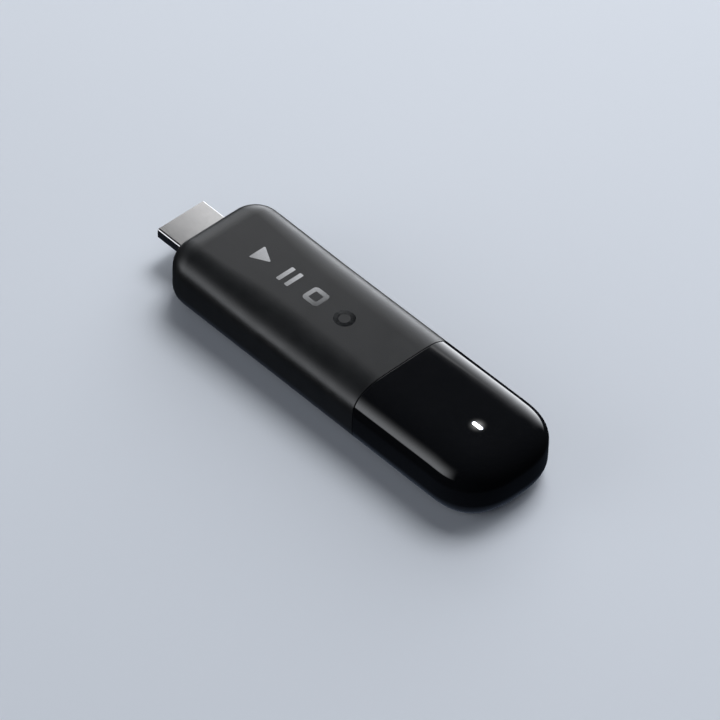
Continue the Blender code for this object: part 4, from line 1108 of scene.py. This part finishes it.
# ================================================================ connectors, light and button
@dataclass
class DisplayPlug:
    """The folded steel shell of the display plug."""

    width: float = 13.9 * MM
    height: float = 4.45 * MM
    slant_run: float = 1.7 * MM
    slant_rise: float = 2.0 * MM
    corner: float = 0.5 * MM
    sheet: float = 0.3 * MM
    tip_steps: int = 6
    tab_length: float = 2.4 * MM
    tab_width: float = 1.2 * MM
    tab_lift: float = 0.05 * MM
    fold_gap: float = 0.07 * MM
    fold_depth: float = 0.12 * MM
    lock_start: float = 3.2 * MM
    lock_length: float = 2.4 * MM
    lock_step: float = 1.1 * MM
    lock_slant: float = 0.5 * MM

    def outline(self, grown: float) -> Outline:
        """The shell's section, grown outwards by a distance."""
        wide, high = self.width + 2 * grown, self.height + 2 * grown
        return connector_outline(wide, high, self.slant_run, self.slant_rise, self.corner + grown)

    def centre_height(self) -> float:
        """How high the middle of the plug lies."""
        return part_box("plug_shell")[0].z + self.height / 2

    def fold_groove(self, start: float, end: float) -> bmesh.types.BMesh:
        """The seam under the shell where the sheet's two edges lock together, as a cutter.

        Args:
            start: the plug's tip.
            end: where the shell ends.

        Returns:
            A thin jogged groove.
        """
        first = start + self.lock_start
        last = first + self.lock_length
        path = [(start - self.sheet, 0.0), (first, 0.0), (first - self.lock_slant, self.lock_step)]
        path += [(last + self.lock_slant, self.lock_step), (last, 0.0), (end + self.sheet, 0.0)]
        strip = band(path, self.fold_gap)
        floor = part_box("plug_shell")[0].z
        return loft([strip, strip], [-self.sheet, self.fold_depth], Axis.Z, (0.0, 0.0, floor))

    def build(self) -> bpy.types.Object:
        """The shell as a tube with a rolled tip, the locked fold below and two solder tabs.

        Returns:
            The shell.
        """
        low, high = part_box("plug_shell")
        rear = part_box("plug_insulator")[1].x
        half_sheet = self.sheet / 2
        grown, levels = [0.0], [rear]
        for step in range(self.tip_steps + 1):
            turn = math.pi * step / self.tip_steps
            grown.append(-half_sheet * (1 - math.cos(turn)))
            levels.append(low.x + half_sheet * (1 - math.sin(turn)))
        grown.append(-self.sheet)
        levels.append(rear)
        centre = (0.0, 0.0, self.centre_height())
        tube = loft([self.outline(g) for g in grown], levels, Axis.X, centre, looped=True)
        shell = new_object("plug_sheet", tube)
        tabs = []
        tab_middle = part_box("main_board")[1].z + self.tab_lift + half_sheet
        strip = rectangle(self.tab_width - self.sheet, self.sheet)
        for side in (-1, 1):
            middle = side * (self.width - self.tab_width) / 2
            ends = [rear - self.sheet, high.x]
            tabs.append(loft([strip, strip], ends, Axis.X, (0.0, middle, tab_middle)))
        combine(shell, tabs, "UNION")
        combine(shell, [self.fold_groove(low.x, rear)], "DIFFERENCE")
        dress(shell, NICKEL_PLATED_STEEL.material(), STICK, ("plug_shell",))
        return shell


@dataclass
class PowerSocket:
    """The folded shell of the power socket, rounded at its mouth."""

    width: float = 7.5 * MM
    height: float = 2.45 * MM
    slant_run: float = 0.75 * MM
    slant_rise: float = 0.8 * MM
    corner: float = 0.25 * MM
    sheet: float = 0.25 * MM
    rim_steps: int = 6

    def outline(self, grown: float) -> Outline:
        """The shell's section, grown outwards by a distance.

        Args:
            grown: the distance, below zero to shrink it.

        Returns:
            The outline round its own centre.
        """
        wide, high = self.width + 2 * grown, self.height + 2 * grown
        corner = max(self.corner + grown, self.corner / 2)
        return connector_outline(wide, high, self.slant_run, self.slant_rise, corner)

    def centre(self) -> tuple[float, float]:
        """The middle of the mouth, in X and Z."""
        low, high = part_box("socket_shell")
        return (low.x + high.x) / 2, (low.z + high.z) / 2

    def build(self) -> bpy.types.Object:
        """The shell as a tube with a rounded mouth.

        Returns:
            The shell.
        """
        low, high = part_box("socket_shell")
        outer = (high.x - low.x - self.width) / 2
        half_sheet = self.sheet / 2
        grown, levels = [outer], [low.y]
        for step in range(self.rim_steps + 1):
            turn = math.pi * step / self.rim_steps
            grown.append(outer - half_sheet * (1 - math.cos(turn)))
            levels.append(high.y - half_sheet * (1 - math.sin(turn)))
        grown.append(outer - self.sheet)
        levels.append(low.y)
        x, z = self.centre()
        tube = loft([self.outline(g) for g in grown], levels, Axis.Y, (x, 0.0, z), looped=True)
        shell = new_object("socket_sheet", tube)
        dress(shell, NICKEL_PLATED_STEEL.material(), STICK, ("socket_shell",))
        return shell


@dataclass
class StatusLight:
    """The milky guide that fills the light window."""

    margin: float = 0.1 * MM
    length: float = 2.8 * MM
    width: float = 0.8 * MM
    flange_margin: float = 0.9 * MM
    flange: float = 0.8 * MM
    rim: float = 0.12 * MM
    crown: float = 0.03 * MM
    crown_inset: float = 0.12 * MM
    wall: float = WALL

    def centre(self) -> tuple[float, float]:
        """The light's middle, in X and Y."""
        low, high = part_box("light_guide")
        return (low.x + high.x) / 2, (low.y + high.y) / 2

    def build(self) -> bpy.types.Object:
        """The guide: a shank over the diode, a flange under the wall and a slightly crowned top.

        Returns:
            The guide.
        """
        low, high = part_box("light_guide")
        flange_top = high.z - self.wall - self.margin
        flange_low = flange_top - self.flange
        steps = [(0.0, low.z), (0.0, flange_low), (self.flange_margin, flange_low)]
        steps += [(self.flange_margin, flange_top), (0.0, flange_top)]
        steps += [(-inwards, high.z - self.crown - down) for inwards, down in reversed(lip(self.rim))]
        steps.append((-self.rim - self.crown_inset, high.z))
        outlines = [pill(self.length + 2 * grown, self.width + 2 * grown) for grown, _ in steps]
        shape = loft(outlines, [z for _, z in steps], Axis.Z, (*self.centre(), 0.0))
        guide = new_object("light_window", shape)
        lit = replace(DIFFUSING_POLYCARBONATE, centre=(*self.centre(), high.z))
        dress(guide, lit.material(), STICK, ("light_guide",))
        return guide


@dataclass
class ResetButton:
    """The small button beside the socket, dished for a fingertip or a pin."""

    radius: float = 1.1 * MM
    flange: float = 0.5 * MM
    rim: float = 0.18 * MM
    dish_radius: float = 0.75 * MM
    dish_depth: float = 0.09 * MM
    dish_steps: int = 6

    def centre(self) -> tuple[float, float]:
        """The button's axis, in X and Z."""
        low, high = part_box("reset_button")
        return (low.x + high.x) / 2, (low.z + high.z) / 2

    def build(self) -> bpy.types.Object:
        """The button as a turned shape along Y.

        Returns:
            The button, on the body that is pushed.
        """
        low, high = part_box("reset_button")
        flange_radius = (high.x - low.x) / 2
        flange_top = low.y + self.flange
        steps = [(flange_radius, low.y), (flange_radius, flange_top), (self.radius, flange_top)]
        steps += [(self.radius - inwards, high.y - down) for inwards, down in reversed(lip(self.rim))]
        for step in range(self.dish_steps):
            share = step / self.dish_steps
            sunk = self.dish_depth * math.sin(share * QUARTER)
            steps.append((self.dish_radius * (1 - share), high.y - sunk))
        x, z = self.centre()
        shape = loft([ring(radius) for radius, _ in steps], [y for _, y in steps], Axis.Y, (x, 0.0, z))
        button = new_object("button_cap", shape)
        dress(button, MIRROR_POLISHED_ABS.material(), PUSHED, ("reset_button",))
        return button


# ================================================================ mark on the sleeve
class Symbol(Enum):
    """The plain control symbols that stand in a row on the sleeve."""

    PLAY = "play"
    PAUSE = "pause"
    STOP = "stop"
    RECORD = "record"


@dataclass
class ControlMarks:
    """A row of plain play, pause, stop and record symbols stamped in foil."""

    height: float = 5.0 * MM
    stroke: float = 1.15 * MM
    gap: float = 4.2 * MM
    corner: float = 0.25 * MM
    frame_corner: float = 1.0 * MM
    sunk: float = 0.004 * MM
    proud: float = 0.010 * MM
    corner_steps: int = 5

    def width(self, symbol: Symbol) -> float:
        """How wide a symbol is."""
        shares = {Symbol.PLAY: 0.92, Symbol.PAUSE: 0.74, Symbol.STOP: 0.94, Symbol.RECORD: 1.0}
        return shares[symbol] * self.height

    def framed(self, outer: Outline, inner: Outline, centre: Point) -> bmesh.types.BMesh:
        """A flat frame between two outlines with the same number of points."""
        levels = [-self.sunk, self.proud, self.proud, -self.sunk]
        return loft([outer, outer, inner, inner], levels, Axis.Z, centre, looped=True)

    def filled(self, outline: Outline, centre: Point) -> bmesh.types.BMesh:
        """A flat filled shape."""
        return loft([outline, outline], [-self.sunk, self.proud], Axis.Z, centre)

    def shapes(self, symbol: Symbol, x: float, top: float) -> list[bmesh.types.BMesh]:
        """The flat pieces of foil that one symbol is made of.

        Args:
            symbol: which symbol.
            x: where its middle lies along the stick.
            top: how high the sleeve's top is.

        Returns:
            One shape for each piece of foil.
        """
        half = self.height / 2
        wide = self.width(symbol) / 2
        centre = (x, 0.0, top)
        if symbol is Symbol.PLAY:
            corners = [(-wide, -half), (wide, 0.0), (-wide, half)]
            return [self.filled(rounded(corners, self.corner, self.corner_steps), centre)]
        if symbol is Symbol.PAUSE:
            bar = rounded(rectangle(self.stroke, self.height), self.corner, self.corner_steps)
            shift = wide - self.stroke / 2
            return [self.filled(bar, (x + side * shift, 0.0, top)) for side in (-1, 1)]
        if symbol is Symbol.STOP:
            outer = rounded(rectangle(2 * wide, 2 * wide), self.frame_corner, self.corner_steps)
            side = 2 * (wide - self.stroke)
            inner = rounded(rectangle(side, side), self.corner, self.corner_steps)
            return [self.framed(outer, inner, centre)]
        return [self.framed(ring(half), ring(half - self.stroke), centre)]

    def build(self) -> None:
        """Stamps the row midway between the plug end and the seam, and dresses each piece."""
        low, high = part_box("matte_sleeve")
        total = sum(self.width(symbol) for symbol in Symbol) + self.gap * (len(Symbol) - 1)
        start = (low.x + high.x) / 2 - total / 2
        foil = STAMPED_FOIL.material()
        for symbol in Symbol:
            width = self.width(symbol)
            for number, shape in enumerate(self.shapes(symbol, start + width / 2, high.z)):
                piece = new_object(f"foil_{symbol.value}_{number + 1}", shape)
                dress(piece, foil, STICK)
            start += width + self.gap


# ================================================================ pieces inside
@dataclass
class Inside:
    """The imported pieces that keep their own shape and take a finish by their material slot."""

    replaced: tuple[str, ...]

    def finishes(self) -> dict[str, Finish]:
        """Which finish each of the record's material slots takes.

        Returns:
            A finish for each slot that a kept piece has.
        """
        low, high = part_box("status_led")
        return {
            "light_source": replace(PHOSPHOR_LED, centre=tuple((low + high) / 2)),
            "gold_contact": GOLD_FLASH,
            "connector_black": GLASS_FILLED_NYLON,
            "board_green": SOLDER_MASKED_BOARD,
            "chip_black": MOULDED_EPOXY,
            "tinned_sheet": TIN_PLATED_SHEET,
            "ferrite": PRESSED_FERRITE,
            "thermal_pad": FILLED_SILICONE,
            "spreader_aluminium": SAWN_ALUMINIUM,
            "tray_grey": PLAIN_MOULDED_RESIN,
            "screw_black": BLACK_ZINC_STEEL,
        }

    def dress(self) -> None:
        """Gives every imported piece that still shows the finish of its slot, and reports it."""
        finishes = self.finishes()
        made: dict[str, bpy.types.Material] = {}
        for part in frame["record"]["subparts"]:
            node, slot = part["node"], part["material_slot"]
            if node in self.replaced:
                continue
            if slot not in made:
                made[slot] = finishes[slot].material()
            mesh = frame["nodes"][node].data
            mesh.materials.clear()
            mesh.materials.append(made[slot])
            LOG.info("%s: kept, in %s", node, made[slot].name)


# ================================================================ studio
@dataclass(frozen=True)
class Lamp:
    """A soft lamp: where it hangs, how large it is, its power in watts, and its colour."""

    name: str
    place: Point
    side: float
    power: float
    colour: str


@dataclass(frozen=True)
class Viewpoint:
    """Where the camera stands, in degrees and metres, and its long lens, in millimetres."""

    azimuth: float = 45.3929
    elevation: float = 44.9855
    roll: float = -1.8814
    distance: float = 1.13457
    aim: Point = (-0.4898 * MM, 4.5935 * MM, 0.0)
    lens: float = 259.18
    sensor: float = 36.0
    nearest: float = 0.01
    farthest: float = 50.0


@dataclass
class Studio:
    """The pale floor, the soft light and the camera.

    The room's wall is lit to near_level on the near side and by far_gain more on the far side.
    The card is a square of one metre that card_size scales.
    """

    floor_side: float = 8.0
    floor_drop: float = 0.02 * MM
    floor_roughness: float = 0.9
    floor_patch: float = 0.35
    floor_tone: float = 0.5
    floor_colour: str = "#e0e5eb"
    backdrop: str = "#dbe1e8"
    room_dark: str = "#0d0f12"
    room_bright: str = "#f2f5fa"
    under_colour: str = "#b9cdf0"
    horizon_strength: float = 5.4
    under_strength: float = 0.16
    dark_strength: float = 0.9
    far_lean: float = 0.1
    far_gain: float = 0.65
    near_level: float = 0.5
    lamps: tuple[Lamp, ...] = (
        Lamp("key", (-0.2, 0.58, 1.0), 0.6, 7.0, "#fbfcff"),
        Lamp("wash", (-0.1, 1.3, 1.0), 1.6, 9.5, "#f4f7ff"),
        Lamp("fill", (0.7, -0.7, 0.9), 1.4, 2.2, "#e6eeff"),
    )
    card_strength: float = 1.5
    card_place: Point = (-0.30, 0.26, 0.25)
    card_size: Point = (0.30, 0.24, 1.0)
    viewpoint: Viewpoint = Viewpoint()

    def build_floor(self) -> None:
        """A large plain floor that the object lies on; it is clear from below."""
        shape = bmesh.new()
        bmesh.ops.create_grid(shape, x_segments=4, y_segments=4, size=self.floor_side / 2)
        floor = new_object("floor", shape)
        floor.location.z = -self.floor_drop
        material = bpy.data.materials.new("matte_paper_floor")
        material.use_nodes = True
        tree = material.node_tree
        shader = tree.nodes["Principled BSDF"]
        shader.inputs["Roughness"].default_value = self.floor_roughness
        place = add(tree, "ShaderNodeTexCoord").outputs["Object"]
        tone = clouds(tree, place, self.floor_patch, 0.0, self.floor_tone)
        paper = {0: tone, 6: linear(self.floor_colour), 7: linear(self.backdrop)}
        mixed = add(tree, "ShaderNodeMix", paper, data_type="RGBA")
        tree.links.new(mixed.outputs[2], shader.inputs["Base Color"])
        clear = add(tree, "ShaderNodeBsdfTransparent").outputs[0]
        below = add(tree, "ShaderNodeNewGeometry").outputs["Backfacing"]
        either = add(tree, "ShaderNodeMixShader", {0: below, 1: shader.outputs[0], 2: clear})
        tree.links.new(either.outputs[0], tree.nodes["Material Output"].inputs["Surface"])
        floor.data.materials.append(material)
        floor.visible_diffuse = False
        floor.visible_glossy = False

    def build_room(self) -> None:
        """The room: dark overhead, brighter to the horizon on the plug's side, dark below it."""
        world = bpy.data.worlds.new("soft_room")
        bpy.context.scene.world = world
        world.use_nodes = True
        tree = world.node_tree
        tree.nodes.clear()
        direction = add(tree, "ShaderNodeTexCoord").outputs["Generated"]
        split = add(tree, "ShaderNodeSeparateXYZ", {"Vector": direction})
        leaning = {0: direction, 1: (0.0, self.far_lean, 1.0)}
        height = add(tree, "ShaderNodeVectorMath", leaning, operation="DOT_PRODUCT").outputs["Value"]
        x, y, z = (split.outputs[axis] for axis in "XYZ")
        # For each part of the room: what it is measured by, where it starts and where it is full.
        limits = {
            "side": (x, 0.15, -0.4),
            "end": (x, -0.97, -0.6),
            "fall": (height, 0.74, 0.0),
            "edge": (z, -0.12, -0.06),
            "far": (y, -0.6, 0.8),
            "under": (z, -0.62, -0.95),
        }
        ramps = {}
        for name, (value, none, full) in limits.items():
            span = {"Value": value, "From Min": none, "From Max": full}
            node = add(tree, "ShaderNodeMapRange", span, interpolation_type="SMOOTHSTEP")
            ramps[name] = node.outputs["Result"]
        lit = {0: ramps["far"], 1: self.far_gain, 2: self.near_level}
        wall = add(tree, "ShaderNodeMath", lit, operation="MULTIPLY_ADD")
        for name in ("side", "end", "fall", "edge"):
            wall = add(tree, "ShaderNodeMath", {0: wall.outputs[0], 1: ramps[name]}, operation="MULTIPLY")
        strengths = {
            self.room_bright: (wall.outputs[0], self.horizon_strength),
            self.under_colour: (ramps["under"], self.under_strength),
        }
        dark = {"Color": linear(self.room_dark), "Strength": self.dark_strength}
        room = add(tree, "ShaderNodeBackground", dark).outputs[0]
        for colour, (share, full) in strengths.items():
            level = add(tree, "ShaderNodeMath", {0: share, 1: full}, operation="MULTIPLY").outputs[0]
            glow = add(tree, "ShaderNodeBackground", {"Color": linear(colour), "Strength": level})
            room = add(tree, "ShaderNodeAddShader", {0: room, 1: glow.outputs[0]}).outputs[0]
        plain = add(tree, "ShaderNodeBackground", {"Color": linear(self.backdrop)}).outputs[0]
        seen = add(tree, "ShaderNodeLightPath").outputs["Is Camera Ray"]
        either = add(tree, "ShaderNodeMixShader", {0: seen, 1: room, 2: plain})
        add(tree, "ShaderNodeOutputWorld", {"Surface": either.outputs[0]})

    def build_lamps(self) -> None:
        """The key lamp that casts the soft shadow, a wide wash from behind, and a faint fill."""
        for lamp in self.lamps:
            data = bpy.data.lights.new(lamp.name, "AREA")
            data.size = lamp.side
            data.energy = lamp.power
            data.color = linear(lamp.colour)[:3]
            hung = bpy.data.objects.new(lamp.name, data)
            hung.location = lamp.place
            hung.rotation_euler = (-Vector(lamp.place)).to_track_quat("-Z", "Y").to_euler()
            hung.visible_camera = False
            hung.visible_glossy = False
            bpy.context.scene.collection.objects.link(hung)

    def build_card(self) -> None:
        """A lit card over the plug end, with soft edges: the bright metal and foil mirror it."""
        shape = bmesh.new()
        bmesh.ops.create_grid(shape, x_segments=2, y_segments=2, size=0.5)
        card = new_object("reflector_card", shape)
        card.location = self.card_place
        card.scale = self.card_size
        material = bpy.data.materials.new("lit_card")
        material.use_nodes = True
        tree = material.node_tree
        tree.nodes.clear()
        place = add(tree, "ShaderNodeTexCoord").outputs["Object"]
        split = add(tree, "ShaderNodeSeparateXYZ", {"Vector": place})
        # For each soft edge: the axis across it, where it starts and where it is full.
        edges = (("X", 0.41, 0.37), ("Y", -0.458, -0.312), ("Y", 0.45, 0.0))
        shares = []
        for axis, none, full in edges:
            span = {"Value": split.outputs[axis], "From Min": none, "From Max": full}
            node = add(tree, "ShaderNodeMapRange", span, interpolation_type="SMOOTHSTEP")
            shares.append(node.outputs["Result"])
        level = add(tree, "ShaderNodeMath", {0: shares[0], 1: self.card_strength}, operation="MULTIPLY")
        for share in shares[1:]:
            level = add(tree, "ShaderNodeMath", {0: level.outputs[0], 1: share}, operation="MULTIPLY")
        glow = add(tree, "ShaderNodeEmission", {"Strength": level.outputs[0]}).outputs[0]
        clear = add(tree, "ShaderNodeBsdfTransparent").outputs[0]
        both = add(tree, "ShaderNodeAddShader", {0: glow, 1: clear}).outputs[0]
        add(tree, "ShaderNodeOutputMaterial", {"Surface": both})
        card.data.materials.append(material)
        card.visible_camera = False
        card.visible_shadow = False

    def build_camera(self) -> None:
        """A long lens that looks down along the stick from the rounded end's near side."""
        view = self.viewpoint
        azimuth, elevation = math.radians(view.azimuth), math.radians(view.elevation)
        roll = math.radians(view.roll)
        level_x, level_y = math.sin(azimuth), -math.cos(azimuth)
        back = Vector((level_x * math.cos(elevation), level_y * math.cos(elevation), math.sin(elevation)))
        level = Vector((math.cos(azimuth), math.sin(azimuth), 0.0))
        upright = back.cross(level)
        right = level * math.cos(roll) - upright * math.sin(roll)
        up = level * math.sin(roll) + upright * math.cos(roll)
        data = bpy.data.cameras.new("camera")
        data.sensor_width = view.sensor
        data.lens = view.lens
        data.clip_start, data.clip_end = view.nearest, view.farthest
        camera = bpy.data.objects.new("camera", data)
        camera.matrix_world = Matrix((right, up, back)).transposed().to_4x4()
        camera.location = Vector(view.aim) + back * view.distance
        bpy.context.scene.collection.objects.link(camera)
        bpy.context.scene.camera = camera

    def build(self) -> None:
        """Builds the whole studio, with plain tones."""
        self.build_camera()
        self.build_floor()
        self.build_room()
        self.build_lamps()
        self.build_card()
        bpy.context.scene.view_settings.view_transform = "Standard"
        LOG.info("studio: floor, room, lamps, card and camera")


def main() -> None:
    """Builds the studio, the casing, the connectors and the small pieces, in that order."""
    logging.basicConfig(level=logging.INFO, format="%(name)s: %(message)s")
    Studio().build()
    plug, socket, light, button = DisplayPlug(), PowerSocket(), StatusLight(), ResetButton()
    casing = Casing(BodyForm.of_frame())
    casing.build_sleeve(plug)
    casing.build_cap(socket, button, light)
    plug.build()
    socket.build()
    light.build()
    button.build()
    ControlMarks().build()
    replaced = ("matte_sleeve", "gloss_end_cap", "plug_shell", "socket_shell", "light_guide", "reset_button")
    Inside(replaced).dress()


if __name__ == "__main__":
    main()
